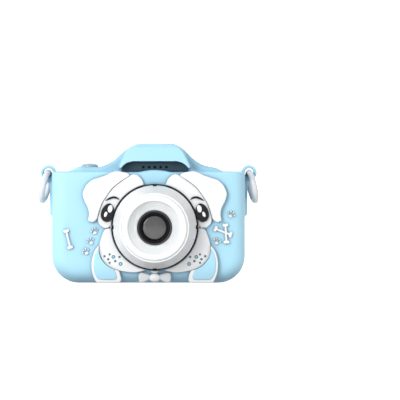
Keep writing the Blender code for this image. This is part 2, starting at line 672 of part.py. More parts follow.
def make_camera_module():
    y_nose = FRONT_Y - BARREL_FLOOR - GAP
    y_base = INNER_FRONT_Y - PLAY
    half = MODULE_HALF
    nose = rod((LENS_X, y_nose, LENS_Z), (LENS_X, y_base + MODULE_T / 4, LENS_Z), GLASS_R * 2 / 3, 24)
    body = box((LENS_X - half, y_base, LENS_Z - half), (LENS_X + half, y_base + MODULE_T, LENS_Z + half))
    pupil = rod((LENS_X, y_nose - 0.001, LENS_Z), (LENS_X, y_nose + 0.0015, LENS_Z), GLASS_R / 5, 16,
                GLASS_R * 0.4)
    keep(cut(joined(body, nose), pupil), "camera_module", "black")
    start = y_base + MODULE_T + GAP
    end = BOARD_FRONT_Y
    sag = MODULE_T
    bend = sag / 2
    route = [(start, 0), (start + bend, -sag / 3), ((start + end) / 2, -sag), (end - bend, -sag / 3), (end,
                                                                                                       0)]
    work = bmesh.new()
    rows = [[work.verts.new((LENS_X + x, y, LENS_Z + z)) for x in (-half / 2, half / 2)] for y, z in route]
    for first, second in zip(rows, rows[1:]):
        work.faces.new((first[0], first[1], second[1], second[0]))
    flex = from_bmesh("flex", work)
    thick = flex.modifiers.new("thick", "SOLIDIFY")
    thick.thickness = FLEX_T
    keep(face_out(baked(flex)), "camera_flex", "shell_blue")


# ---------------------------------------------------------------- screen, board and inner pieces
def make_screen():
    keep(plate(screen_outline(GAP), PAD_Y - SCREEN_T, PAD_Y, smooth=False), "screen_window", "glass")
    gasket_y = INNER_BACK_Y - GAP
    ring = plate(screen_outline(LCD_INSET), gasket_y - GASKET_T, gasket_y, smooth=False)
    view = plate(screen_outline(BEZEL + LCD_INSET), gasket_y - 4 * GASKET_T, BACK_Y, smooth=False)
    keep(cut(ring, view), "screen_gasket", "black")
    keep(plate(screen_outline(LCD_INSET), LCD_Y - LCD_T, LCD_Y, smooth=False), "lcd_panel", "black")


def make_board():
    wide = SIDE_X - 0.0055
    slim = SCREW_X - BOSS_R - PLAY
    low, high = SCREW_ZS[0] + BOSS_R + PLAY, SCREW_ZS[1] - BOSS_R - PLAY
    foot, top = 0.0060, CASE_H - 0.0056
    points = [(-slim, foot), (slim, foot), (slim, low), (wide, low), (wide, high), (slim, high), (slim, top),
              (-slim, top), (-slim, high), (-wide, high), (-wide, low), (-slim, low)]
    keep(plate(points, BOARD_Y - BOARD_T, BOARD_Y, smooth=False), "main_board", "board")
    x = -SCREW_X + BOSS_R + PLAY
    y = INNER_FRONT_Y + 0.004
    top = SWITCH_Z - SWITCH[2] - SWITCH_BOARD[2] - BATTERY_AIR
    keep(box((x, y, BATTERY_LOW), (x + BATTERY_W, y + BATTERY_T, top)), "battery", "foil", False)
    mic_x, mic_z = LENS_X + 0.018, 0.012
    keep(rod((mic_x, BOARD_FRONT_Y, mic_z), (mic_x, BOARD_FRONT_Y - 0.0016, mic_z), MIC_R, 16),
         "microphone", "metal")


def make_hump_pieces():
    y = HUMP_Y + SKIN + GAP + WALL + GAP
    z = CASE_H + GRILLE_RISE / 2
    keep(rod((LENS_X, y, z), (LENS_X, y + SPEAKER_T, z), SPEAKER_R, 24), "speaker", "black")
    eye_y = INNER_BACK_Y - EDGE_R / 2
    front = eye_y + GAP
    radius = HUMP_WINDOW_R - 6 * GAP
    keep(rod((LENS_X, front, HUMP_EYE_Z), (LENS_X, front + 0.0020, HUMP_EYE_Z), radius, 24), "selfie_lens",
         "glass")
    half = radius - GAP
    keep(box((LENS_X - half, eye_y - 0.0045, HUMP_EYE_Z - half), (LENS_X + half, eye_y - GAP,
                                                                  HUMP_EYE_Z + half)),
         "selfie_module", "black", False)


def make_ports():
    front = BOARD_FRONT_Y
    mouth = SIDE_X - 0.0055
    half = USB_W / 2
    usb_z = DOOR_LOW + PLAY + half
    usb = box((mouth - 2 * USB_T, front - USB_T, usb_z - half), (mouth, front, usb_z + half))
    slot = box((mouth - USB_T, front - USB_T + USB_WALL, usb_z - half + USB_WALL),
               (mouth + SKIN, front - USB_WALL, usb_z + half - USB_WALL))
    keep(cut(usb, slot), "usb_port", "metal", False)
    depth, thick, width = CARD
    rim = CARD_RIM
    half = width / 2
    card_z = DOOR_LOW + DOOR_H - half - rim - PLAY
    low_y = front - rim / 2 - thick - GAP
    tail = mouth - depth + rim
    socket = box((mouth - depth, low_y - GAP - rim / 2, card_z - half - rim), (mouth, front,
                                                                               card_z + half + rim))
    pocket = box((tail, low_y - GAP, card_z - half - GAP), (mouth + rim, front - rim / 2,
                                                            card_z + half + GAP))
    keep(cut(socket, pocket), "card_socket", "metal", False)
    card = box((tail + CARD_TRAVEL + GAP, low_y, card_z - half), (mouth + CARD_SHOW, low_y + thick,
                                                                  card_z + half))
    keep(card, "memory_card", "black", False)


def make_door():
    edge = (DOOR_Y - DOOR_W / 2, DOOR_Y + DOOR_W / 2)
    door = box((SIDE_X - DOOR_T, edge[0], DOOR_LOW), (SIDE_X, edge[1], DOOR_LOW + DOOR_H))
    notch = box((SIDE_X - DOOR_T / 3, edge[1] - DOOR_T / 2, DOOR_Z - DOOR_W / 2),
                (SIDE_X + DOOR_T, edge[1] + DOOR_T, DOOR_Z + DOOR_W / 2))
    keep(pivot(cut(door, notch), (SIDE_X, edge[0], DOOR_Z)), "port_flap", "silicone", False)


# ---------------------------------------------------------------- moving pieces
def make_shutter():
    x, y = BUTTON_AXIS_X, LUG_Y
    crown = CASE_H + BUTTON_RISE
    foot_top = BUTTON_FOOT_Z + BUTTON_FOOT_H
    cap = rod((x, y, crown - BUTTON_CAP_H), (x, y, crown), BUTTON_R, 32)
    stem = rod((x, y, foot_top - GAP), (x, y, crown - BUTTON_CAP_H / 2), BUTTON_STEM_R, 20)
    foot = rod((x, y, BUTTON_FOOT_Z), (x, y, foot_top), BUTTON_FOOT_R, 24)
    keep(pivot(joined(cap, stem, foot), (x, y, crown)), "shutter_button", "pearl")
    half_x, half_y, tall = SWITCH
    seat = SWITCH_Z - tall
    switch = box((x - half_x, y - half_y, seat), (x + half_x, y + half_y, SWITCH_Z))
    half_x, half_y, thick = SWITCH_BOARD
    base = box((x - half_x, y - half_y, seat - thick), (x + half_x, y + half_y, seat + GAP))
    keep(joined(base, switch), "shutter_switch", "board", False)


def make_keys():
    cap_y = PAD_Y + KEY_REACH
    collar_y = INNER_BACK_Y - PLAY
    shoulder = cap_y - KEY_CHAMFER / 2
    for name, x, z, radius in key_layout():
        cap = rod((x, collar_y - GAP, z), (x, shoulder, z), radius, 14)
        dome = rod((x, shoulder - GAP, z), (x, cap_y, z), radius, 14, radius - KEY_CHAMFER)
        collar = rod((x, collar_y - 2 * GAP, z), (x, collar_y, z), radius + KEY_COLLAR, 14)
        keep(pivot(joined(cap, dome, collar), (x, cap_y, z)), name, "trim_white")
    reach = KEY_ARM + KEY_R + 0.0011
    points = rounded(KEYS_X - reach, KEYS_X + reach, KEYS_Z - reach, MENU_Z + KEY_R, 0.001, 0.001, 2)
    sheet = plate(points, BOARD_Y + GAP, BOARD_Y + 2 * GAP, smooth=False)
    notches = [rod((x, BOARD_Y, z), (x, BOARD_Y + 3 * GAP, z), BOSS_R + GAP, 16) for x, z in screw_places()]
    keep(cut(sheet, *notches), "dome_sheet", "metal")


def make_ring(side, name):
    """A wire ring hanging in its lug, leaned outwards and turned a little about the vertical."""
    curve = bpy.data.curves.new(name, "CURVE")
    curve.dimensions = "3D"
    curve.bevel_depth = RING_WIRE_R
    curve.bevel_resolution = RING_SECTION
    curve.resolution_u = 1
    curve.render_resolution_u = 0
    spline = curve.splines.new("POLY")
    spline.points.add(RING_SIDES - 1)
    spline.use_cyclic_u = True
    for knot, angle in zip(spline.points, [2 * math.pi * k / RING_SIDES for k in range(RING_SIDES)]):
        knot.co = (0, RING_R * math.sin(angle), RING_R * (math.cos(angle) - 1), 1)
    obj = new_object(name, curve)
    lean = Matrix.Rotation(-side * RING_TILT, 4, "Y")
    yaw = Matrix.Rotation(side * RING_YAW, 4, "Z")
    obj.matrix_world = Matrix.Translation((side * LUG_X, LUG_Y, LUG_Z)) @ lean @ yaw
    keep(pivot(face_out(baked(obj)), (side * LUG_X, LUG_Y, LUG_Z)), name, "pearl")


# ---------------------------------------------------------------- raised trim
def lens_well():
    return rod((LENS_X, -DEPTH, LENS_Z), (LENS_X, DEPTH, LENS_Z), LENS_R + GAP, 40)


def relief(points, height, low=0.0, *tools):
    """Trim that stands height before the case front, cut to its rounding where it reaches round."""
    back = FRONT_Y + low - GAP
    raised = plate(points, FRONT_Y - GAP - height, back)
    if low > 0:
        return cut(raised, blank(-GAP), *tools)
    return cut(raised, *tools) if tools else raised


def mark(points, lower=0.0):
    """A small raised mark beside the puppy."""
    return plate(placed(points), FRONT_Y - GAP - TRIM_SMALL + lower, FRONT_Y - GAP - lower, smooth=False)


def room_for(points, y_back):
    """A cutter that leaves a gap round a neighbouring outline."""
    return plate(points, FRONT_Y - LENS_REACH, y_back, GAP)


def make_puppy(side, word):
    face_line, ear_line = placed(FACE, side), placed(EAR, side)
    face = relief(face_line, TRIM, 0.0, lens_well(), room_for(ear_line, BACK_Y))
    keep(face, f"face_{word}", "trim_white")
    ear = relief(ear_line, TRIM_EAR, 0.0, room_for(on_hump(VISOR_LINE), BACK_Y))
    keep(ear, f"ear_{word}", "trim_white")
    leg = relief(placed(LEG, side), TRIM_EAR, EDGE_R, room_for(face_line, BACK_Y))
    keep(leg, f"leg_{word}", "trim_white")
    base = FRONT_Y - TRIM - 2 * GAP
    eye = plate(placed(EYE, side), base - TRIM_SMALL, base)
    keep(cut(eye, lens_well()), f"eye_{word}", "black")
    brow = plate(placed(BROW, side), base - TRIM_SMALL / 2, base)
    keep(cut(brow, lens_well()), f"brow_{word}", "black")


def make_trim():
    for side, word in ((-1, "left"), (1, "right")):
        make_puppy(side, word)
    keep(relief(placed(CHIN), TRIM, EDGE_R, lens_well()), "chin_nub", "trim_white")
    keep(relief(placed(BOW), TRIM_EAR, EDGE_R), "bow_tie", "pearl")
    keep(mark(bone(*BONE_SINGLE)), "bone_single", "trim_white")
    first, second = BONES_CROSSED
    keep(joined(mark(bone(*first)), mark(bone(*second), GAP / 2)), "bone_crossed", "trim_white")
    for number, drawn in enumerate(PAWS, 1):
        keep(mark(paw(*drawn)), f"paw_{number}", "trim_white")


clear_scene()
CAMERA = collection("kids_camera")
CUTTERS = collection("cutters")
make_case()
make_grille()
make_front_housing()
make_rear_housing()
make_screws()
make_lens()
make_camera_module()
make_screen()
make_board()
make_hump_pieces()
make_ports()
make_door()
make_shutter()
make_keys()
make_ring(-1, "ring_left")
make_ring(1, "ring_right")
make_trim()
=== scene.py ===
import json
import math

import bmesh
import bpy
from mathutils import Matrix, Vector


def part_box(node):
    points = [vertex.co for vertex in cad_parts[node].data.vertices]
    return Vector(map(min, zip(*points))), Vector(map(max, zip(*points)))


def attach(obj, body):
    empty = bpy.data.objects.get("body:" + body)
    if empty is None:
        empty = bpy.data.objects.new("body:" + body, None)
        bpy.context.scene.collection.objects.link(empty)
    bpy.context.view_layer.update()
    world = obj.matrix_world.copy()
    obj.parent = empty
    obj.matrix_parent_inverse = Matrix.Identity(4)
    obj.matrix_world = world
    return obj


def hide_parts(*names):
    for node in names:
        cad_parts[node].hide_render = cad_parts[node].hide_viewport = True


bl_info = {
    "name": "Kids camera finish",
    "version": (1, 0, 0),
    "blender": (4, 5, 0),
    "location": "View3D > Sidebar > Kids camera",
    "description": "Makes the finished surfaces of a child's digital camera in a soft puppy case",
    "category": "Object",
}

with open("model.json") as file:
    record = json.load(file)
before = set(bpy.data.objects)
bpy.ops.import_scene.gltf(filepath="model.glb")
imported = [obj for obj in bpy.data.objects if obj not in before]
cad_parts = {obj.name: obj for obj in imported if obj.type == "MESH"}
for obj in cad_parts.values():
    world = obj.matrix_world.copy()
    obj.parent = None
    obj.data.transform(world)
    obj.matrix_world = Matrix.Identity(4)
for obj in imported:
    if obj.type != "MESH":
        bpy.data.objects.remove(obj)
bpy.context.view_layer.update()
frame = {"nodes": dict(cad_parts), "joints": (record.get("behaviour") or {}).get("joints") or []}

MM = 0.001
GAP = 0.0003                # air that the frame keeps between pieces
BODY = "camera"

# Places read from the frame
JOINTS = {joint["name"]: joint for joint in frame["joints"]}
RING_LOW, RING_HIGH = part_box("lens_trim_ring")
LENS_X = (RING_LOW.x + RING_HIGH.x) / 2
LENS_Z = (RING_LOW.z + RING_HIGH.z) / 2
LENS_R = (RING_HIGH.x - RING_LOW.x) / 2
FRONT_Y = RING_HIGH.y + GAP
LENS_REACH = FRONT_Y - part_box("lens_face_ring")[0].y
LUG = Vector(JOINTS["ring_right_swing"]["pos_m"])
CASE_TOP = LUG.z + 0.0005
CASE_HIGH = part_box("silicone_case")[1]
BACK_Y = CASE_HIGH.y
HUMP_TOP = CASE_HIGH.z
HUMP_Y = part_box("speaker_grille")[1].y + GAP
HUMP_BACK_Y = BACK_Y - 0.0034
SKIN = 0.0024
SIDE_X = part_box("front_housing")[1].x + SKIN + GAP
PAD_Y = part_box("screen_window")[1].y
EYE_Z = sum(corner.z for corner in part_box("selfie_lens")) / 2

FAR = 0.1                   # reach of a cutting block, well outside the camera

# Sizes of the housing
WALL = 0.0016
BOSS_R = 0.0026
SCREW_HOLE_R = 0.0012
SCREW_HEAD_HOLE_R = 0.0020
SCREW_HEAD_ROOM = 0.0017
SELFIE_TUBE_R = 0.0040
PAD_LAP = 0.0008            # how far the pad and the bosses run into the back wall
BEZEL = 0.0022


# ---------------------------------------------------------------- settings
def colour_setting(name, note, value):
    return bpy.props.FloatVectorProperty(name=name, description=note, default=value, size=3, min=0, max=1,
                                         subtype="COLOR")


def length_setting(name, note, value):
    return bpy.props.FloatProperty(name=name, description=note, default=value, unit="LENGTH",
                                   subtype="DISTANCE")


def level_setting(name, note, value, unit="NONE"):
    return bpy.props.FloatProperty(name=name, description=note, default=value, unit=unit)


class CaseSettings(bpy.types.PropertyGroup):
    colour: colour_setting("Silicone", "Colour of the soft case", (0.44, 0.77, 0.93))
    edge: length_setting("Edge rounding", "Radius of the long front and back edges", 0.0068)
    corner: length_setting("Corner rounding", "Radius of the lower corners seen from the front", 0.013)
    soften: bpy.props.IntProperty(name="Softening", description="Passes that soften moulded edges", default=5)
    cell: length_setting("Skin detail", "Size of the cells that the case's skin is drawn from", 0.00045)


class TrimSettings(bpy.types.PropertyGroup):
    white: colour_setting("White relief", "Colour of the puppy's white parts", (0.90, 0.91, 0.915))
    pearl: colour_setting("Grey relief", "Colour of the bow tie", (0.69, 0.70, 0.72))
    black: colour_setting("Black relief", "Colour of the eyes and brows", (0.020, 0.020, 0.022))
    face: length_setting("Face height", "How far the face stands before the case", 0.0016)
    ear: length_setting("Ear height", "How far ears and legs stand before the case", 0.0023)
    mark: length_setting("Mark height", "How far bones and paw prints stand before the case", 0.0011)


class LensSettings(bpy.types.PropertyGroup):
    white: colour_setting("Barrel", "Colour of the barrel and its face ring", (0.93, 0.945, 0.95))
    pearl: colour_setting("Cone", "Colour of the grooved cone round the glass", (0.83, 0.845, 0.85))
    black: colour_setting("Black rings", "Colour of the black rings", (0.006, 0.006, 0.007))
    glass: colour_setting("Glass", "Tint of the coated glass", (0.085, 0.085, 0.087))
    grooves: bpy.props.IntProperty(name="Grooves", description="Fine rings turned into the cone", default=13)


class BackSettings(bpy.types.PropertyGroup):
    shell: colour_setting("Housing", "Colour of the hard housing", (0.33, 0.66, 0.83))
    keys: colour_setting("Keys", "Colour of the keys", (0.84, 0.86, 0.88))
    symbols: colour_setting("Symbols", "Colour of the symbols on the keys", (0.05, 0.20, 0.33))
    silver: colour_setting("Shutter button", "Colour of the shutter button", (0.29, 0.45, 0.54))
    ring: colour_setting("Carry rings", "Colour of the carry rings", (0.74, 0.75, 0.78))


class StageSettings(bpy.types.PropertyGroup):
    distance: length_setting("Camera distance", "From the render camera to the front of the case", 1.6)
    view: length_setting("View width", "Width that the render camera sees", 0.194)
    floor: colour_setting("Floor", "Colour of the floor and its sweep", (0.86, 0.86, 0.86))
    glow: level_setting("Floor glow", "Light that the sweep itself gives off", 0.93)
    key_power: level_setting("Key light", "Power of the near soft light", 0.92, "POWER")
    rim_power: level_setting("Top light", "Power of the strip over the camera", 0.06, "POWER")
    fill_power: level_setting("Fill light", "Power of the weak light on the right", 0.45, "POWER")
    side_power: level_setting("Side lights", "Power of the lights that graze the front", 0.24, "POWER")
    low_power: level_setting("Low light", "Power of the low strip before the camera", 0.10, "POWER")
    sky_low: level_setting("Room, dark side", "Room light away from the key", 0.16)
    sky_high: level_setting("Room, light side", "Room light beside the key", 0.86)


class CameraSettings(bpy.types.PropertyGroup):
    case: bpy.props.PointerProperty(type=CaseSettings)
    trim: bpy.props.PointerProperty(type=TrimSettings)
    lens: bpy.props.PointerProperty(type=LensSettings)
    back: bpy.props.PointerProperty(type=BackSettings)
    stage: bpy.props.PointerProperty(type=StageSettings)


def settings():
    return bpy.context.scene.kids_camera


# ---------------------------------------------------------------- materials
class Finish:
    """A Principled material whose colour, gloss and bump are built up from patterns on Object coordinates."""

    def __init__(self, name, colour, rough, metallic=0.0, coat=0.0, sheen=0.0, specular=0.5):
        self.material = bpy.data.materials.new(name)
        self.material.use_nodes = True
        self.nodes = self.material.node_tree.nodes
        self.links = self.material.node_tree.links
        self.shader = self.nodes["Principled BSDF"]
        self.shader.inputs["Base Color"].default_value = (*colour, 1)
        self.shader.inputs["Roughness"].default_value = rough
        self.shader.inputs["Metallic"].default_value = metallic
        self.shader.inputs["Coat Weight"].default_value = coat
        self.shader.inputs["Coat Roughness"].default_value = 0.08
        self.shader.inputs["Sheen Weight"].default_value = sheen
        self.shader.inputs["Specular IOR Level"].default_value = specular
        self.coords = self.nodes.new("ShaderNodeTexCoord").outputs["Object"]
        self.colour = tuple(colour)
        self.rough = rough
        self.bump = None

    def node(self, kind, **fields):
        made = self.nodes.new(kind)
        for field, value in fields.items():
            setattr(made, field, value)
        return made

    def noise(self, scale, detail=3.0, stretch=None):
        made = self.node("ShaderNodeTexNoise")
        made.inputs["Scale"].default_value = scale
        made.inputs["Detail"].default_value = detail
        source = self.coords
        if stretch:
            mapping = self.node("ShaderNodeMapping")
            mapping.inputs["Scale"].default_value = stretch
            self.links.new(self.coords, mapping.inputs["Vector"])
            source = mapping.outputs["Vector"]
        self.links.new(source, made.inputs["Vector"])
        return made.outputs["Fac"]

    def ramp(self, source, low, high, first, second):
        made = self.node("ShaderNodeMapRange")
        for name, value in (("From Min", low), ("From Max", high), ("To Min", first), ("To Max", second)):
            made.inputs[name].default_value = value
        self.links.new(source, made.inputs["Value"])
        return made.outputs["Result"]

    def tint(self, mask, colour):
        """Blend the base colour towards another where the mask is high."""
        mix = self.node("ShaderNodeMix", data_type="RGBA")
        base = self.shader.inputs["Base Color"]
        if base.is_linked:
            self.links.new(base.links[0].from_socket, mix.inputs["A"])
        else:
            mix.inputs["A"].default_value = base.default_value
        mix.inputs["B"].default_value = (*colour, 1)
        self.links.new(mask, mix.inputs["Factor"])
        self.links.new(mix.outputs["Result"], base)
        return self

    def drift(self, scale, amount, towards=None):
        """Slow colour change over the surface, as pigment gives a moulded piece."""
        other = towards or tuple(max(c * (1 - 3 * amount), 0) for c in self.colour)
        return self.tint(self.ramp(self.noise(scale, 2.0), 0.3, 0.7, 0.0, 0.35), other)

    def uneven_gloss(self, scale, spread):
        source = self.ramp(self.noise(scale), 0.3, 0.7, self.rough - spread, self.rough + spread)
        self.links.new(source, self.shader.inputs["Roughness"])
        return self

    def relief(self, height, distance, strength=1.0):
        """Stack a bump on any bump that is already there."""
        made = self.node("ShaderNodeBump")
        made.inputs["Strength"].default_value = strength
        made.inputs["Distance"].default_value = distance
        self.links.new(height, made.inputs["Height"])
        if self.bump:
            self.links.new(self.bump, made.inputs["Normal"])
        self.bump = made.outputs["Normal"]
        self.links.new(self.bump, self.shader.inputs["Normal"])
        return self

    def grain(self, scale, distance, strength=1.0):
        return self.relief(self.noise(scale, 4.0), distance, strength)

    def painted_crease_shade(self, colour, distance, depth=1.0):
        """Darken hollows and the feet of raised pieces with painted shade from an ambient occlusion node."""
        made = self.node("ShaderNodeAmbientOcclusion", samples=8)
        made.inputs["Distance"].default_value = distance
        return self.tint(self.ramp(made.outputs["AO"], 0.15, 1.0, depth, 0.0), colour)

    def band(self, centre, direction="Y", scale=1000.0, kind="RINGS"):
        """Regular rings about an axis, or bands along one."""
        mapping = self.node("ShaderNodeMapping")
        mapping.inputs["Location"].default_value = [-value for value in centre]
        wave = self.node("ShaderNodeTexWave", wave_type=kind)
        setattr(wave, "rings_direction" if kind == "RINGS" else "bands_direction", direction)
        wave.inputs["Scale"].default_value = scale
        self.links.new(self.coords, mapping.inputs["Vector"])
        self.links.new(mapping.outputs["Vector"], wave.inputs["Vector"])
        return wave.outputs["Fac"]

    def inside(self, low, high, soft=0.0002):
        """A mask that is one inside a box of Object coordinates, and fades over soft."""
        split = self.node("ShaderNodeSeparateXYZ")
        self.links.new(self.coords, split.inputs["Vector"])
        mask = None
        for axis, (start, end) in enumerate(zip(low, high)):
            if start is None:
                continue
            for edge, sign in ((start, 1), (end, -1)):
                part = self.ramp(split.outputs[axis], edge - soft, edge + soft,
                                 (1 - sign) / 2, (1 + sign) / 2)
                if mask is None:
                    mask = part
                else:
                    product = self.node("ShaderNodeMath", operation="MULTIPLY")
                    self.links.new(mask, product.inputs[0])
                    self.links.new(part, product.inputs[1])
                    mask = product.outputs["Value"]
        return mask


FINISHES = {}
WHITE_SHADE = (0.50, 0.53, 0.55)


def finish(name, make):
    """Each finish is made once and shared."""
    if name not in FINISHES:
        FINISHES[name] = make().material
    return FINISHES[name]


def soft_silicone(name, colour, rough=0.46, shade=(0.16, 0.30, 0.42)):
    def make():
        made = Finish(name, colour, rough, sheen=0.05, specular=0.35)
        made.drift(55, 0.03)
        # Painted shade in hollows and at the feet of raised pieces, over a short and a long reach.
        made.painted_crease_shade(shade, 0.0016, 0.9)
        made.painted_crease_shade(shade, 0.011, 0.75)
        # Painted shade on the hump's front flanks beside the visor.
        flank_shade_mask = made.inside((LENS_X - 0.036, HUMP_Y - 0.0004, CASE_TOP + 0.001),
                            (LENS_X + 0.036, HUMP_Y + 0.0030, HUMP_TOP - 0.0035), 0.0016)
        made.tint(made.ramp(flank_shade_mask, 0, 1, 0, 0.5), shade)
        made.uneven_gloss(320, 0.05)
        return made.grain(2600, 0.000012, 0.5).grain(420, 0.00003, 0.25)
    return finish(name, make)


def moulded(name, colour, rough=0.3, coat=0.0, grain=0.000006, specular=0.5, wave=0.12):
    def make():
        made = Finish(name, colour, rough, coat=coat, specular=specular)
        made.drift(80, 0.02)
        made.uneven_gloss(500, 0.03)
        return made.grain(3500, grain, 0.5).grain(260, 0.00002, wave)
    return finish(name, make)


def grooved_pearl():
    def make():
        made = Finish("grooved pearl", settings().lens.pearl, 0.34)
        made.tint(made.ramp(made.band((LENS_X, 0, LENS_Z), scale=360), 0, 1, 0, 0.38), (0.66, 0.68, 0.70))
        made.uneven_gloss(900, 0.02)
        return made.grain(3000, 0.000002, 0.15)
    return finish("grooved pearl", make)


def coated_glass(name, colour):
    def make():
        made = Finish(name, colour, 0.16, coat=0.3, specular=0.4)
        # Painted purple coating reflection in the base colour, stronger at glancing angles.
        glancing_reflection = made.node("ShaderNodeLayerWeight")
        glancing_reflection.inputs["Blend"].default_value = 0.35
        made.tint(made.ramp(glancing_reflection.outputs["Facing"], 0.2, 0.9, 0.0, 0.55), (0.16, 0.12, 0.24))
        made.tint(made.ramp(made.noise(900, 1.0), 0.55, 0.8, 0.0, 0.12), (0.2, 0.2, 0.22))
        return made
    return finish(name, make)


def brushed(name, colour, rough=0.32):
    def make():
        made = Finish(name, colour, rough, metallic=1.0)
        streaks = made.noise(500, 3.0, (1, 14, 14))
        made.tint(made.ramp(streaks, 0.3, 0.7, 0, 0.3), tuple(c * 0.7 for c in colour))
        made.uneven_gloss(700, 0.08)
        return made.relief(streaks, 0.00001, 0.3)
    return finish(name, make)


def circuit_board():
    def make():
        made = Finish("solder mask", (0.015, 0.16, 0.06), 0.34, coat=0.4)
        for scale, amount in ((330, 0.55), (760, 0.35)):
            lines = made.node("ShaderNodeTexBrick")
            lines.inputs["Scale"].default_value = scale
            lines.inputs["Mortar Size"].default_value = 0.03
            turn = made.node("ShaderNodeMapping")
            turn.inputs["Rotation"].default_value = (math.pi / 2, 0, 0)
            made.links.new(made.coords, turn.inputs["Vector"])
            made.links.new(turn.outputs["Vector"], lines.inputs["Vector"])
            made.tint(made.ramp(lines.outputs["Fac"], 0, 1, 0, amount), (0.03, 0.30, 0.12))
            made.relief(lines.outputs["Fac"], 0.00002, 0.4)
        return made.uneven_gloss(400, 0.05)
    return finish("solder mask", make)


def crinkled_foil():
    def make():
        made = Finish("pouch foil", (0.62, 0.64, 0.68), 0.36, metallic=0.9)
        made.drift(120, 0.05)
        made.uneven_gloss(180, 0.08)
        return made.grain(220, 0.00012, 0.5)
    return finish("pouch foil", make)


# ---------------------------------------------------------------- mesh helpers
def new_object(name, data):
    obj = bpy.data.objects.new(name, data)
    bpy.context.scene.collection.objects.link(obj)
    return obj


def baked(obj):
    """The plain, welded mesh of a curve or a modified object, with its place in its mesh."""
    bpy.context.view_layer.update()
    seen = obj.evaluated_get(bpy.context.evaluated_depsgraph_get())
    mesh = bpy.data.meshes.new_from_object(seen)
    work = bmesh.new()
    work.from_mesh(mesh)
    work.transform(obj.matrix_world)
    bmesh.ops.remove_doubles(work, verts=work.verts, dist=0.000001)
    work.to_mesh(mesh)
    work.free()
    name = obj.name
    bpy.data.objects.remove(obj)
    return new_object(name, mesh)


def from_bmesh(name, work):
    mesh = bpy.data.meshes.new(name)
    work.to_mesh(mesh)
    work.free()
    return new_object(name, mesh)


def face_out(obj):
    work = bmesh.new()
    work.from_mesh(obj.data)
    bmesh.ops.recalc_face_normals(work, faces=work.faces)
    work.to_mesh(obj.data)
    work.free()
    return obj


def box(low, high, name="box"):
    work = bmesh.new()
    bmesh.ops.create_cube(work, size=1)
    size = Vector(high) - Vector(low)
    work.transform(Matrix.Translation((Vector(high) + Vector(low)) / 2) @ Matrix.Diagonal((*size, 1)))
    return from_bmesh(name, work)


def rod(start, end, radius, sides=64, end_radius=None, name="rod"):
    start = Vector(start)
    end = Vector(end)
    work = bmesh.new()
    bmesh.ops.create_cone(work, cap_ends=True, segments=sides, radius1=radius,
                          radius2=radius if end_radius is None else end_radius, depth=(end - start).length)
    turn = (end - start).to_track_quat("Z", "Y").to_matrix().to_4x4()
    work.transform(Matrix.Translation((start + end) / 2) @ turn)
    return from_bmesh(name, work)


def rounded_edges(obj, width, segments=4, angle=40, clamp=True):
    """Round an object's sharp edges and bake the result."""
    step = obj.modifiers.new("edges", "BEVEL")
    step.use_clamp_overlap = clamp
    step.width = width
    step.segments = segments
    step.limit_method = "ANGLE"
    step.angle_limit = math.radians(angle)
    return baked(obj)


def plate(points, y_front, y_back, grow=0.0, rounding=0.0, name="plate"):
    """An outline in the X-Z plane, thickened along Y, grown or shrunk, with rounded edges if asked."""
    area = sum(a[0] * b[1] - b[0] * a[1] for a, b in zip(points, points[1:] + points[:1]))
    ordered = points if area > 0 else points[::-1]
    curve = bpy.data.curves.new(name, "CURVE")
    curve.dimensions = "2D"
    curve.fill_mode = "BOTH"
    curve.extrude = (y_back - y_front) / 2 - rounding
    curve.offset = grow - rounding
    curve.bevel_depth = rounding
    curve.bevel_resolution = 4 if rounding else 0
    curve.resolution_u = 1
    spline = curve.splines.new("BEZIER")
    spline.bezier_points.add(len(ordered) - 1)
    spline.use_cyclic_u = True
    for knot, (x, z) in zip(spline.bezier_points, ordered):
        knot.co = (x, z, 0)
        knot.handle_left_type = "VECTOR"
        knot.handle_right_type = "VECTOR"
    obj = new_object(name, curve)
    obj.rotation_euler.x = math.pi / 2
    obj.location.y = (y_front + y_back) / 2
    return baked(obj)


def turned(profile, name="turned", sides=160, axis=None):
    """(radius, distance) pairs turned about an axis; without one, about the lens axis, looking forward."""
    work = bmesh.new()
    knots = [work.verts.new((r, 0, f)) for r, f in profile]
    solid = profile[0][0] == 0
    for first, second in zip(knots, knots[1:] if solid else knots[1:] + knots[:1]):
        work.edges.new((first, second))
    obj = from_bmesh(name, work)
    screw = obj.modifiers.new("turn", "SCREW")
    screw.steps = sides
    screw.render_steps = sides
    screw.use_merge_vertices = True
    screw.merge_threshold = 0.000001
    lens_axis = Matrix.Translation((LENS_X, FRONT_Y, LENS_Z)) @ Matrix.Rotation(math.pi / 2, 4, "X")
    obj.matrix_world = lens_axis if axis is None else axis
    return face_out(baked(obj))


def boolean(target, tools, operation):
    for tool in tools:
        step = target.modifiers.new(tool.name, "BOOLEAN")
        step.operation = operation
        step.solver = "EXACT"
        step.object = tool
    worked = baked(target)
    for tool in tools:
        bpy.data.objects.remove(tool)
    return worked


def cut(target, *tools):
    return boolean(target, tools, "DIFFERENCE")


def joined(target, *tools):
    return boolean(target, tools, "UNION")


def piece(obj, name, material, replaces=(), body=BODY, angle=35):
    """Hand a worked shape over as one of the camera's finished pieces."""
    obj.name = name
    obj.data.name = name
    obj.data.materials.clear()
    obj.data.materials.append(material)
    obj.data.shade_smooth()
    obj.data.set_sharp_from_angle(angle=math.radians(angle))
    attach(obj, body)
    if replaces:
        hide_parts(*replaces)
    return obj


# ---------------------------------------------------------------- outlines
def flowing(points, steps=6, closed=True):
    """A smooth line through the points, as a Catmull-Rom curve."""
    count = len(points)
    line = []
    for index in range(count if closed else count - 1):
        around = []
        for step in (-1, 0, 1, 2):
            place = index + step
            around.append(points[place % count] if closed else points[min(max(place, 0), count - 1)])
        a, b, c, d = (Vector(p) for p in around)
        for part in range(steps):
            t = part / steps
            spot = 0.5 * (2 * b + (c - a) * t + (2 * a - 5 * b + 4 * c - d) * t ** 2
                          + (3 * b - a - 3 * c + d) * t ** 3)
            line.append((spot.x, spot.y))
    if not closed:
        line.append(tuple(points[-1]))
    return line


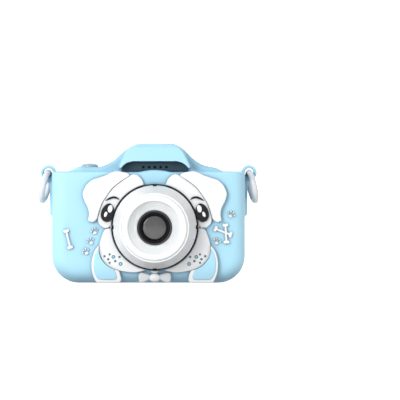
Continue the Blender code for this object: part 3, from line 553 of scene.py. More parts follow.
def arc(centre, radius, start, end, steps=24):
    turns = [math.radians(start + (end - start) * step / steps) for step in range(steps + 1)]
    return [(centre[0] + radius * math.cos(t), centre[1] + radius * math.sin(t)) for t in turns]


def rounded(x_low, x_high, z_low, z_high, low_r, high_r, steps=12):
    line = arc((x_high - low_r, z_low + low_r), low_r, -90, 0, steps)
    line += arc((x_high - high_r, z_high - high_r), high_r, 0, 90, steps)
    line += arc((x_low + high_r, z_high - high_r), high_r, 90, 180, steps)
    return line + arc((x_low + low_r, z_low + low_r), low_r, 180, 270, steps)


def on_case(points, side=1):
    """Outline points in millimetres from the lens axis, set on the case, mirrored where side is -1."""
    return [(LENS_X + side * u * MM, LENS_Z + w * MM) for u, w in points]


def leaning(points, degrees, u=0, w=0):
    """Points turned about their origin, then moved by (u, w)."""
    turn = math.radians(degrees)
    return [(u + x * math.cos(turn) - z * math.sin(turn), w + x * math.sin(turn) + z * math.cos(turn))
            for x, z in points]


# ---------------------------------------------------------------- generated copies
def copies_tree():
    """Copies of one piece on points that carry a size and a turn, as one solid mesh."""
    tree = bpy.data.node_groups.new("copies on points", "GeometryNodeTree")
    face = tree.interface
    face.new_socket("Geometry", in_out="INPUT", socket_type="NodeSocketGeometry")
    face.new_socket("Piece", in_out="INPUT", socket_type="NodeSocketObject")
    face.new_socket("Finish", in_out="INPUT", socket_type="NodeSocketMaterial")
    face.new_socket("Geometry", in_out="OUTPUT", socket_type="NodeSocketGeometry")
    nodes = tree.nodes
    source = nodes.new("NodeGroupInput")
    result = nodes.new("NodeGroupOutput")
    info = nodes.new("GeometryNodeObjectInfo")
    copies = nodes.new("GeometryNodeInstanceOnPoints")
    solid = nodes.new("GeometryNodeRealizeInstances")
    coat = nodes.new("GeometryNodeSetMaterial")
    size = nodes.new("GeometryNodeInputNamedAttribute")
    size.data_type = "FLOAT_VECTOR"
    size.inputs["Name"].default_value = "size"
    turn = nodes.new("GeometryNodeInputNamedAttribute")
    turn.data_type = "FLOAT_VECTOR"
    turn.inputs["Name"].default_value = "turn"
    link = tree.links.new
    link(source.outputs["Geometry"], copies.inputs["Points"])
    link(source.outputs["Piece"], info.inputs["Object"])
    link(info.outputs["Geometry"], copies.inputs["Instance"])
    link(size.outputs["Attribute"], copies.inputs["Scale"])
    link(turn.outputs["Attribute"], copies.inputs["Rotation"])
    link(copies.outputs["Instances"], solid.inputs["Geometry"])
    link(solid.outputs["Geometry"], coat.inputs["Geometry"])
    link(source.outputs["Finish"], coat.inputs["Material"])
    link(coat.outputs["Geometry"], result.inputs["Geometry"])
    return tree


def copies(template, places, material, name="copies"):
    """Run the copies tree: places are (point, size, turn) triples. The template is used up."""
    tree = bpy.data.node_groups.get("copies on points") or copies_tree()
    mesh = bpy.data.meshes.new(name)
    mesh.from_pydata([tuple(place[0]) for place in places], [], [])
    for label, index in (("size", 1), ("turn", 2)):
        layer = mesh.attributes.new(label, "FLOAT_VECTOR", "POINT")
        layer.data.foreach_set("vector", [value for place in places for value in place[index]])
    obj = new_object(name, mesh)
    step = obj.modifiers.new("copies", "NODES")
    step.node_group = tree
    sockets = {item.name: item.identifier for item in tree.interface.items_tree if item.in_out == "INPUT"}
    step[sockets["Piece"]] = template
    step[sockets["Finish"]] = material
    made = baked(obj)
    bpy.data.objects.remove(template)
    return made


def dome(rings=8, sides=28):
    """A unit half ball that bulges along -Y, with a flat closed back."""
    profile = [(0, 1)]
    for step in range(1, rings + 1):
        angle = math.pi / 2 * step / rings
        profile.append((math.sin(angle), math.cos(angle)))
    profile += [(1, -0.4), (0, -0.4)]
    return turned(profile, "dome", sides, Matrix.Rotation(math.pi / 2, 4, "X"))


# ---------------------------------------------------------------- soft case
HUMP_LINE = ((-43, 26.6), (-40, 28), (-38, 28.9), (-36.3, 29.2), (-28, 28.9), (-26, 29.3), (-24, 30),
             (-22, 31), (-20, 32.2), (-18, 34), (-16, 36), (-14, 37.6), (-12, 38.8), (-10, 39.7),
             (-7.5, 40.3), (7.5, 40.3), (10, 39.8), (12, 38.9), (14, 37.4), (16, 35.5), (18, 33.4),
             (20, 31.8), (22, 30.5), (24, 29.6), (26, 29.1), (28, 28.7), (30, 28.3), (32, 27.3),
             (33.5, 26.5))
VISOR_TOP = ((17.4, 28.8), (16.6, 30.8), (15.5, 33.2), (14.1, 35.8), (12.6, 37.6), (11.2, 38.6), (9.4, 39))
VISOR_LIP = ((10, 32), (13, 31.3), (15, 30), (16.5, 28.4))
VISOR_REACH = 0.0032
LIP = 0.0045                # back lip that holds the housing in
LIP_T = 0.0040
CASE_CORNER = 0.013
HUMP_FOOT = 0.012           # how deep the hump's form reaches into the block
CROWN_R = 0.0277
LENS_HOLE_R = 0.0189
SELFIE_HOLE_R = 0.0055
BUTTON_HOLE_R = 0.0045
LUG_HUB_R = 0.0038
LUG_HOLE_R = 0.0022
GRILLE_HOLE_R = 0.00062
GRILLE_PITCH = 0.0028
CASE_TRIANGLES = 150000


def outer_form(inset=0.0):
    """The camera's outer form shrunk all round by inset: a rounded block with a crisp top, and the hump."""
    edge = settings().case.edge
    corner = settings().case.corner
    over = corner + 0.002
    outline = rounded(-SIDE_X, SIDE_X, 0, CASE_TOP + over, corner, corner, 14)
    block = plate(outline, FRONT_Y + inset, BACK_Y - inset, -inset)
    block = rounded_edges(block, edge - inset, 8, 60, clamp=False)
    lid = box((-FAR, -FAR, CASE_TOP - inset), (FAR, FAR, CASE_TOP + 2 * over))
    block = cut(block, lid)
    line = on_case(HUMP_LINE)
    foot = CASE_TOP - HUMP_FOOT
    line = flowing(line, 3, closed=False) + [(line[-1][0], foot), (line[0][0], foot)]
    hump = plate(line, HUMP_Y + inset, HUMP_BACK_Y - inset, -inset, 0.0014 if inset == 0 else 0.0)
    return joined(block, hump)


def visor():
    """The lip over the grille: thicker at its lower edge and sloped back to the hump's top."""
    top = flowing(VISOR_TOP, 4, closed=False)
    lip = flowing(VISOR_LIP, 4, closed=False)
    line = [(-u, w) for u, w in top] + top[::-1] + lip[::-1] + [(-u, w) for u, w in lip]
    line = on_case(line)
    lip_y = FRONT_Y - VISOR_REACH
    block = plate(line, lip_y, HUMP_Y + SKIN / 2)
    low = LENS_Z + 31.6 * MM
    slope = math.atan2(HUMP_Y - 0.0006 - lip_y, HUMP_TOP - low)
    wedge = box((-0.04, -0.04, -0.02), (0.04, 0, 0.06))
    wedge.data.transform(Matrix.Translation((LENS_X, lip_y, low)) @ Matrix.Rotation(-slope, 4, "X"))
    return rounded_edges(cut(block, wedge), 0.0013, 1, 30)


def lug(side):
    """The eye that carries a ring, with its web and the flange down the case side."""
    x = side * LUG.x
    hub = rod((x, LUG.y - 0.0023, LUG.z), (x, LUG.y + 0.0023, LUG.z), LUG_HUB_R, 64)
    inner = side * (SIDE_X - SKIN / 2)
    root = [(inner, LUG.z - 0.0075), (side * (SIDE_X + 0.0012), LUG.z - 0.0060),
            (x + side * 0.0026, LUG.z - 0.0026), (x - side * 0.0026, LUG.z + 0.0026),
            (inner, LUG.z + 0.0006)]
    web = plate(root, LUG.y - 0.0021, LUG.y + 0.0021)
    ends = sorted((inner, side * (SIDE_X + 0.0013)))
    flange = plate(rounded(ends[0], ends[1], CASE_TOP - 0.0213, LUG.z - 0.0040, 0.0005, 0.0005, 4),
                   LUG.y - 0.0038, LUG.y + 0.0038)
    return joined(hub, web, flange)


def crown():
    """The gentle arch in the middle of the front's top edge, round the lens."""
    line = arc((LENS_X, LENS_Z), CROWN_R, 66, 114, 20)
    line += [(LENS_X - 0.012, CASE_TOP - 0.003), (LENS_X + 0.012, CASE_TOP - 0.003)]
    return plate(line, FRONT_Y, HUMP_Y + 0.001)


def lip_outline(shrink=0.0):
    margin = LIP + shrink
    return rounded(-SIDE_X + margin, SIDE_X - margin, margin, CASE_TOP - margin, CASE_CORNER - LIP, 0.003)


def grille_places():
    low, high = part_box("speaker_grille")
    return [(low.x + high.x) / 2 + GRILLE_PITCH * step for step in (-2, -1, 0, 1, 2)]


def case_openings():
    far = BACK_Y + 0.01
    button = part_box("shutter_button")
    button_x = (button[0].x + button[1].x) / 2
    door_low, door_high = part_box("port_flap")
    yield plate(lip_outline(), BACK_Y - LIP_T, far)
    yield rod((LENS_X, HUMP_BACK_Y - 0.006, EYE_Z), (LENS_X, far, EYE_Z), SELFIE_HOLE_R)
    yield rod((LENS_X, FRONT_Y + 0.006, LENS_Z), (LENS_X, FRONT_Y - 0.01, LENS_Z), LENS_HOLE_R, 96)
    yield rod((button_x, LUG.y, CASE_TOP - 0.006), (button_x, LUG.y, HUMP_TOP), BUTTON_HOLE_R)
    yield box((SIDE_X - 0.006, door_low.y - GAP, door_low.z - GAP),
              (SIDE_X + 0.003, door_high.y + GAP, door_high.z + GAP))
    for side in (-1, 1):
        yield rod((side * LUG.x, LUG.y - 0.005, LUG.z), (side * LUG.x, LUG.y + 0.005, LUG.z), LUG_HOLE_R)


class KidsCameraCase(bpy.types.Operator):
    """Make the soft silicone case: one skin with hump, visor, lugs and its openings"""
    bl_idname = "kids_camera.case"
    bl_label = "Soft case"

    def execute(self, context):
        values = settings().case
        case = joined(outer_form(), visor(), lug(-1), lug(1), crown())
        case = cut(case, outer_form(SKIN))
        case = cut(case, *case_openings())
        skin = case.modifiers.new("skin", "REMESH")
        skin.mode = "VOXEL"
        skin.voxel_size = values.cell
        soften = case.modifiers.new("soften", "SMOOTH")
        soften.factor = 0.5
        soften.iterations = values.soften
        case = baked(case)
        thin = case.modifiers.new("thin", "DECIMATE")
        thin.ratio = min(1.0, CASE_TRIANGLES / (2 * len(case.data.polygons)))
        case = baked(case)
        piece(case, "soft_case", soft_silicone("sky silicone", values.colour), ["silicone_case"],
              angle=60)
        return {"FINISHED"}


class KidsCameraGrille(bpy.types.Operator):
    """Make the dark speaker grille under the visor"""
    bl_idname = "kids_camera.grille"
    bl_label = "Speaker grille"

    def execute(self, context):
        low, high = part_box("speaker_grille")
        half = flowing(((16.5, 26.9), (15.7, 28.8), (13.6, 30.7), (10.4, 31.5)), 5, closed=False)
        line = on_case(half + [(-u, w) for u, w in half[::-1]])
        grille = plate(line, low.y, high.y + 0.0002, 0.0, 0.0002)
        hole = rod((0, -0.002, 0), (0, 0.002, 0), GRILLE_HOLE_R, 28)
        z = CASE_TOP + 0.0024
        places = [((x, low.y, z), (1, 1, 1), (0, 0, 0)) for x in grille_places()]
        dark = moulded("smoky plastic", (0.026, 0.055, 0.078), 0.5, specular=0.2)
        holes = copies(hole, places, dark)
        piece(cut(grille, holes), "grille_plate", dark, ["speaker_grille"])
        middle = (low.x + high.x) / 2
        felt = plate(rounded(middle - 0.0075, middle + 0.0075, z - 0.001, z + 0.001, 0.0009, 0.0009),
                     high.y - 0.00015, high.y + 0.00035)
        black = moulded("speaker felt", (0.002, 0.003, 0.004), 0.9, specular=0.05)
        piece(felt, "grille_felt", black)
        return {"FINISHED"}


# ---------------------------------------------------------------- lens
def ring_profile(outer, inner, back, front, rounding=0.0003):
    """A flat ring with rounded front edges, as a turned profile."""
    line = [(outer, back)]
    line += [(outer - rounding + rounding * math.cos(t), front - rounding + rounding * math.sin(t))
             for t in (math.radians(15 * k) for k in range(7))]
    line += [(inner + rounding - rounding * math.sin(t), front - rounding + rounding * math.cos(t))
             for t in (math.radians(15 * k) for k in range(7))]
    return line + [(inner, back)]


class KidsCameraLens(bpy.types.Operator):
    """Turn the lens group: trim ring with tabs, tapered barrel, face ring, grooved cone, black ring, glass"""
    bl_idname = "kids_camera.lens"
    bl_label = "Lens group"

    def execute(self, context):
        self.make_trim_ring()
        self.make_barrel()
        self.make_cone()
        self.make_glass()
        return {"FINISHED"}

    def make_trim_ring(self):
        black = moulded("black plastic", settings().lens.black, 0.5, specular=0.1)
        ring = turned(ring_profile(LENS_R, LENS_HOLE_R, 0.0003, 0.0025))
        tab = rounded_edges(box((-0.0009, -0.0044, LENS_R - 0.0011), (0.0009, -0.0003, LENS_R)), 0.0002, 3)
        centre = (LENS_X, FRONT_Y, LENS_Z)
        places = [(centre, (1, 1, 1), (0, math.pi / 2 * step, 0)) for step in range(4)]
        tabs = copies(tab, places, black)
        piece(joined(ring, tabs), "trim_ring", black, ["lens_trim_ring"])

    def make_barrel(self):
        white = moulded("lens white", settings().lens.white, 0.34, 0.0, 0.000002, 0.35, 0.02)
        front = LENS_REACH
        wall = [(0.0203, 0.0028), (0.02025, 0.0034), (0.0168, front - 0.0016)]
        nose = arc((0.0163, front - 0.0015), 0.0005, 5, 90, 6)
        barrel = wall + nose + [(0.0160, front - 0.0010), (0.0159, front - 0.0016), (0.0159, 0.0070),
                                (0.0079, 0.0070), (0.0079, 0.0056), (LENS_HOLE_R, 0.0056),
                                (LENS_HOLE_R, 0.0028)]
        piece(turned(barrel), "barrel", white, ["lens_barrel"])
        lip = [(0.01585, 0.0073), (0.01585, front - 0.0012), (0.0157, front - 0.0010)]
        lip += arc((0.0148, front - 0.0010), 0.0008, 0, 90, 8)[1:]
        lip += [(0.0140, front - 0.0001)]
        lip += arc((0.0136, front - 0.0009), 0.0008, 90, 175, 8)
        lip += [(0.01252, front - 0.0013), (0.01252, 0.0073)]
        piece(turned(lip), "face_ring", white, ["lens_face_ring"])

    def make_cone(self):
        count = settings().lens.grooves
        outer, inner = 0.0125, 0.00855
        high, low = LENS_REACH - 0.0014, LENS_REACH - 0.0036
        line = []
        for step in range(count * 4 + 1):
            share = step / (count * 4)
            swell = 0.00009 * (math.sin(2 * math.pi * share * count) if 0 < share < 1 else 0)
            dish = 0.0005 * math.sin(math.pi * share)
            line.append((outer + (inner - outer) * share, high + (low - high) * share - dish + swell))
        cone = [(outer, low - 0.0025)] + line + [(inner, low - 0.0025)]
        piece(turned(cone), "grooved_cone", grooved_pearl(), ["lens_cone"], angle=50)

    def make_glass(self):
        values = settings().lens
        shelf = LENS_REACH - 0.0036
        black = moulded("black plastic", values.black, 0.5, specular=0.1)
        rim = [(0.0083, 0.0080), (0.0083, shelf + 0.0001)]
        rim += arc((0.0081, shelf + 0.0001), 0.0002, 10, 90, 5)
        rim += [(0.0076, shelf + 0.0001), (0.0075, shelf - 0.0002), (0.0075, 0.0080)]
        smoke = moulded("smoked plastic", (0.045, 0.045, 0.047), 0.42, specular=0.3)
        piece(turned(rim), "black_ring_rim", smoke)
        line = [(0.0082, 0.0073), (0.0082, 0.0078), (0.0074, 0.0079), (0.0074, shelf - 0.0002),
                (0.0072, shelf - 0.0004), (0.0069, shelf - 0.0004), (0.0068, shelf - 0.0008),
                (0.0064, shelf - 0.0009), (0.0063, shelf - 0.0013), (0.0060, shelf - 0.0016),
                (0.0060, 0.0073)]
        piece(turned(line), "black_ring", black, ["lens_black_ring"])
        glass = shelf - 0.0022
        bulge = [(0.0057 * math.sin(t), glass + 0.0006 * math.cos(t))
                 for t in (math.radians(6 * k) for k in range(15))]
        bulge += [(0.0057, glass - 0.0001), (0.0057, glass - 0.0012), (0, glass - 0.0012)]
        piece(turned(bulge), "front_glass", coated_glass("coated glass", values.glass),
              ["lens_glass"])


# ---------------------------------------------------------------- puppy trim
EAR = ((12.3, 25), (14, 26.4), (17.5, 27.0), (20, 26.8), (24, 25), (28, 23.6), (30, 23), (32, 21.6),
       (33.5, 19.8), (34.9, 16.2), (34, 12.5), (33, 10.5), (32.2, 8.5), (31.9, 6), (32.3, 3.4), (31.4, 2.7),
       (30.2, 2.4), (28.8, 3.2), (27.9, 4.3), (27.4, 6), (26.5, 9), (25.3, 12), (24, 14), (22, 17),
       (20, 19.4), (16, 22.5))
HEAD = ((5.35, 20.4), (5.6, 21.5), (6.6, 23.4), (8.2, 25), (10.2, 25.6), (12.2, 24.9), (15.9, 22.4),
        (19.9, 19.3), (21.9, 16.9), (23.9, 13.9), (25.2, 11.9), (26.3, 9), (27.2, 6), (27.6, 4), (27.2, 2),
        (26, 0.5), (24.5, -0.45))
CREASE = ((23.8, -0.65), (22.3, -0.2), (21.3, 0.1), (22.3, -0.5), (23.8, -1.0))
CHEEK = ((24.4, -1.4), (25.2, -3), (26.4, -6.5), (27.1, -10), (26.9, -12.5), (26, -15.2), (24, -17.8),
         (21.5, -19.6), (18, -20.9), (14, -21.7), (10, -22), (7, -21.6), (4.5, -20.9))
LEG = ((25.8, -8.6), (27.2, -9), (29.3, -11.8), (30.5, -16), (30.6, -20), (29.9, -23.5), (28.5, -26.4),
       (26.6, -27.1), (23, -27.15), (18.4, -27.1), (16.7, -26.4), (16.3, -25), (16.9, -22.6), (18, -20.4),
       (22, -16))
LEG_FILL = ((26.2, -10.4), (27.3, -10.9), (28.7, -13), (29.5, -17), (29.4, -20.5), (28.6, -23.2),
            (27.5, -24.9), (26.2, -25.4), (23, -25.5), (20.2, -25.5), (18.8, -25.1), (18.4, -24.1),
            (19.1, -22.1), (20.0, -19.8), (23, -15), (25.2, -10.4))
EYE = ((21.3, 11.3), (20.2, 9.9), (19.75, 8.6), (19.65, 6.9), (20.2, 5), (21.3, 3.3), (23, 2.5),
       (24.9, 3.0), (26, 4.6), (26.2, 6.4), (25.6, 8.6), (24.3, 10.4), (22.7, 11.4))
BROW = ((17.2, 13.3), (18.4, 14.6), (20.1, 14.95), (22, 14.35), (23.9, 12.8), (22, 13.35), (20.1, 13.95),
        (18.6, 13.8))
GLINTS = ((21.6, 8.9, 1.15, 1.85, -12), (23.8, 6.2, 0.75, 1.35, -20))
FRECKLES = ((24.4, -14.15, 0.6), (21.9, -13.25, 0.55), (17.1, -14.46, 0.6), (22.6, -15.6, 0.6),
            (19.2, -16.5, 0.62), (21.9, -17.3, 0.55), (20.1, -14.46, 0.9), (16.6, -17.86, 0.94))
FRECKLE_EYES = ((20.1, -14.46, 0.5), (16.6, -17.86, 0.53))
BOW = ((0, -22.95), (1.5, -23.3), (2.6, -23.1), (5, -22.3), (6.8, -22.2), (7.7, -22.9), (7.9, -24.6),
       (7.6, -26.2), (6.8, -27), (5, -26.7), (2.6, -25.6), (1.5, -25.6), (0, -26.0))
PAWS = ((-33.4, -12.0, 32), (-31.1, -7.0, 26), (-29.2, -2.0, 20), (37.0, 6.0, -24), (30.2, -7.0, -16))
DISC_R = 0.0211             # clear of the trim ring
TRIM_SINK = 0.0001          # how far the trim reaches into the case


def lens_arc(first, last):
    """The round edge that the face leaves about the lens, from one outline point to another."""
    start = math.degrees(math.atan2(first[1], first[0]))
    end = math.degrees(math.atan2(last[1], last[0]))
    radius = DISC_R / MM
    return [(radius * math.cos(t), radius * math.sin(t))
            for t in (math.radians(start + (end - start) * step / 40) for step in range(41))]


class KidsCameraFace(bpy.types.Operator):
    """Make the raised puppy: face halves, ears, legs, eyes, brows, freckles, chin and bow tie"""
    bl_idname = "kids_camera.face"
    bl_label = "Puppy face"

    def execute(self, context):
        values = settings().trim
        self.white = soft_silicone("white silicone", values.white, 0.4, WHITE_SHADE)
        self.black = moulded("black gloss", values.black, 0.34, specular=0.12)
        self.pearl = soft_silicone("pearl silicone", values.pearl, 0.3, WHITE_SHADE)
        self.sky = soft_silicone("sky silicone", settings().case.colour)
        for side, word in ((-1, "left"), (1, "right")):
            self.make_half(side, word)
            self.make_leg(side, word)
            self.make_eye(side, word)
            self.make_freckles(side, word)
        self.make_middle()
        return {"FINISHED"}

    def raised(self, points, height, sink=0.0002, rounding=0.00035, side=1):
        return plate(on_case(points, side), FRONT_Y - height, FRONT_Y + sink, 0.0, rounding)

    def make_half(self, side, word):
        values = settings().trim
        cheek = flowing(CHEEK, 5, closed=False)
        head = flowing(HEAD, 5, closed=False)
        line = head + list(CREASE) + cheek + lens_arc(CHEEK[-1], HEAD[0])
        face = self.raised(line, values.face, side=side)
        piece(face, f"puppy_face_{word}", self.white, [f"face_{word}"])
        ear = self.raised(flowing(EAR, 5), values.ear, rounding=0.0005, side=side)
        piece(ear, f"puppy_ear_{word}", self.white, [f"ear_{word}"])

    def cheek_room(self, side):
        """The room a leg leaves for the cheek that stands over it."""
        line = on_case(flowing(CHEEK, 5, closed=False) + lens_arc(CHEEK[-1], CHEEK[0]), side)
        return plate(line, FRONT_Y - 0.006, FRONT_Y + settings().case.edge + 0.001, 0.0001)

    def make_leg(self, side, word):
        height = settings().trim.ear
        deep = settings().case.edge
        rim = plate(on_case(flowing(LEG, 5), side), FRONT_Y - height, FRONT_Y + deep, 0.0, 0.0004)
        rim = cut(rim, outer_form(TRIM_SINK), self.cheek_room(side))
        piece(rim, f"puppy_leg_{word}", self.white, [f"leg_{word}"])
        top = FRONT_Y - height
        fill = plate(on_case(flowing(LEG_FILL, 5), side), top - 0.0004, top + 0.0006, 0.0, 0.00035)
        fill = cut(fill, self.cheek_room(side))
        piece(fill, f"puppy_leg_fill_{word}", self.sky)

    def make_eye(self, side, word):
        base = FRONT_Y - settings().trim.face
        eye = plate(on_case(flowing(EYE, 5), side), base - 0.0010, base + 0.0001, 0.0, 0.00045)
        piece(eye, f"puppy_eye_{word}", self.black, [f"eye_{word}"])
        brow = plate(on_case(flowing(BROW, 5), side), base - 0.0005, base + 0.0001, 0.0, 0.0001)
        piece(brow, f"puppy_brow_{word}", self.black, [f"brow_{word}"])
        places = []
        for u, w, wide, tall, lean in GLINTS:
            spot = (LENS_X + side * u * MM, base - 0.00095, LENS_Z + w * MM)
            places.append((spot, (wide * MM, 0.00022, tall * MM), (0, math.radians(lean) * side, 0)))
        shine = moulded("eye shine", (0.9, 0.9, 0.92), 0.2, coat=0.4)
        piece(copies(dome(), places, shine), f"eye_shine_{word}", shine)

    def make_freckles(self, side, word):
        base = FRONT_Y - settings().trim.face
        slate = moulded("freckle slate", (0.12, 0.20, 0.26), 0.5, specular=0.2)
        kinds = (("freckles", FRECKLES, 0.0001, slate), ("freckle_eyes", FRECKLE_EYES, 0.0002, self.sky))
        for label, spots, high, coat in kinds:
            places = [((LENS_X + side * u * MM, base, LENS_Z + w * MM), (r * MM, high, r * MM), (0, 0, 0))
                      for u, w, r in spots]
            piece(copies(dome(6, 20), places, coat), f"{label}_{word}", coat)

    def make_middle(self):
        height = settings().trim.ear
        under = flowing(((2.0, -21.3), (1.5, -22), (0, -22.4), (-1.5, -22), (-2.0, -21.3)), 5, False)
        chin = [(2.0, -21.15), *under, (-2.0, -21.15)]
        piece(self.raised(chin, settings().trim.face, rounding=0.0003), "puppy_chin", self.white,
              ["chin_nub"])
        half = flowing(BOW, 5, closed=False)
        line = half + [(-u, w) for u, w in half[::-1]][1:-1]
        bow = plate(on_case(line), FRONT_Y - height, FRONT_Y + settings().case.edge, 0.0, 0.0009)
        bow = cut(bow, outer_form(TRIM_SINK))
        spot = (LENS_X, FRONT_Y - height + 0.0001, LENS_Z - 0.0245)
        knot = copies(dome(), [(spot, (0.0026, 0.0014, 0.0021), (0, 0, 0))], self.white)
        piece(bow, "puppy_bow_tie", self.pearl, ["bow_tie"])
        piece(knot, "puppy_bow_knot", self.white)


def bone(u, w, length, degrees, shaft=0.5, knob=0.8):
    """A bone about (u, w): a shaft with two round knobs at each end."""
    middle = length / 2 - knob
    apart = 0.82 * knob
    joint = 180 - math.degrees(math.asin((shaft - apart) / knob))
    notch = -math.degrees(math.asin(apart / knob))
    line = []
    for end, start in ((1, 0), (-1, 180)):
        for lobe, first, last in ((-1, 360 - joint, 360 - notch), (1, notch, joint)):
            knob_line = arc((0, 0), knob, start + first, start + last, 20)[:-1]
            line += [(end * middle + x, end * lobe * apart + z) for x, z in knob_line]
        line.append((line[-40][0], end * shaft))
    return leaning(line, degrees, u, w)


class KidsCameraMarks(bpy.types.Operator):
    """Make the small raised marks: the bones and the paw prints"""
    bl_idname = "kids_camera.marks"
    bl_label = "Bones and paw prints"

    def execute(self, context):
        values = settings().trim
        white = soft_silicone("white silicone", values.white, 0.4, WHITE_SHADE)
        back = FRONT_Y + 0.0002
        front = FRONT_Y - values.mark
        single = plate(on_case(bone(-42, -5.9, 9.8, -76)), front, back, 0.0, 0.0003)
        piece(single, "single_bone", white, ["bone_single"])
        first = plate(on_case(bone(34.5, -3.2, 9.9, -86)), front, back, 0.0, 0.0003)
        second = plate(on_case(bone(33.1, -2.3, 9.4, -22)), front + 0.0002, back - 0.00005, 0.0, 0.0003)
        piece(joined(first, second), "crossed_bones", white, ["bone_crossed"])
        for number, (u, w, degrees) in enumerate(PAWS, 1):
            self.make_paw(number, u, w, degrees, white)
        return {"FINISHED"}

    def make_paw(self, number, u, w, degrees, white):
        height = settings().trim.mark
        spots = [(0, -0.85, 1.15, 0.9)]
        for angle in (-63, -21, 21, 63):
            reach = math.radians(90 + angle)
            spots.append((1.75 * math.cos(reach), -0.4 + 1.75 * math.sin(reach), 0.45, 0.64))
        turn = math.radians(degrees)
        places = []
        for (px, pz), (_, _, wide, tall) in zip(leaning([spot[:2] for spot in spots], degrees, u, w), spots):
            spot = (LENS_X + px * MM, FRONT_Y + 0.0001, LENS_Z + pz * MM)
            places.append((spot, (wide * MM, height, tall * MM), (0, -turn, 0)))
        piece(copies(dome(8, 24), places, white), f"paw_print_{number}", white,
              [f"paw_{number}"])


# ---------------------------------------------------------------- back
def screen_outline(shrink=0.0):
    low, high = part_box("screen_window")
    inset = GAP - shrink
    return rounded(low.x - inset, high.x + inset, low.z - inset, high.z + inset, 0.0015, 0.0015, 8)


def key_places():
    """Each key's axis, and the radius of its cap."""
    for name in ("key_ok", "key_up", "key_down", "key_left", "key_right", "key_menu", "key_power"):
        low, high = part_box(name)
        yield name, (low.x + high.x) / 2, (low.z + high.z) / 2, (high.z - low.z) / 2 - 0.0007


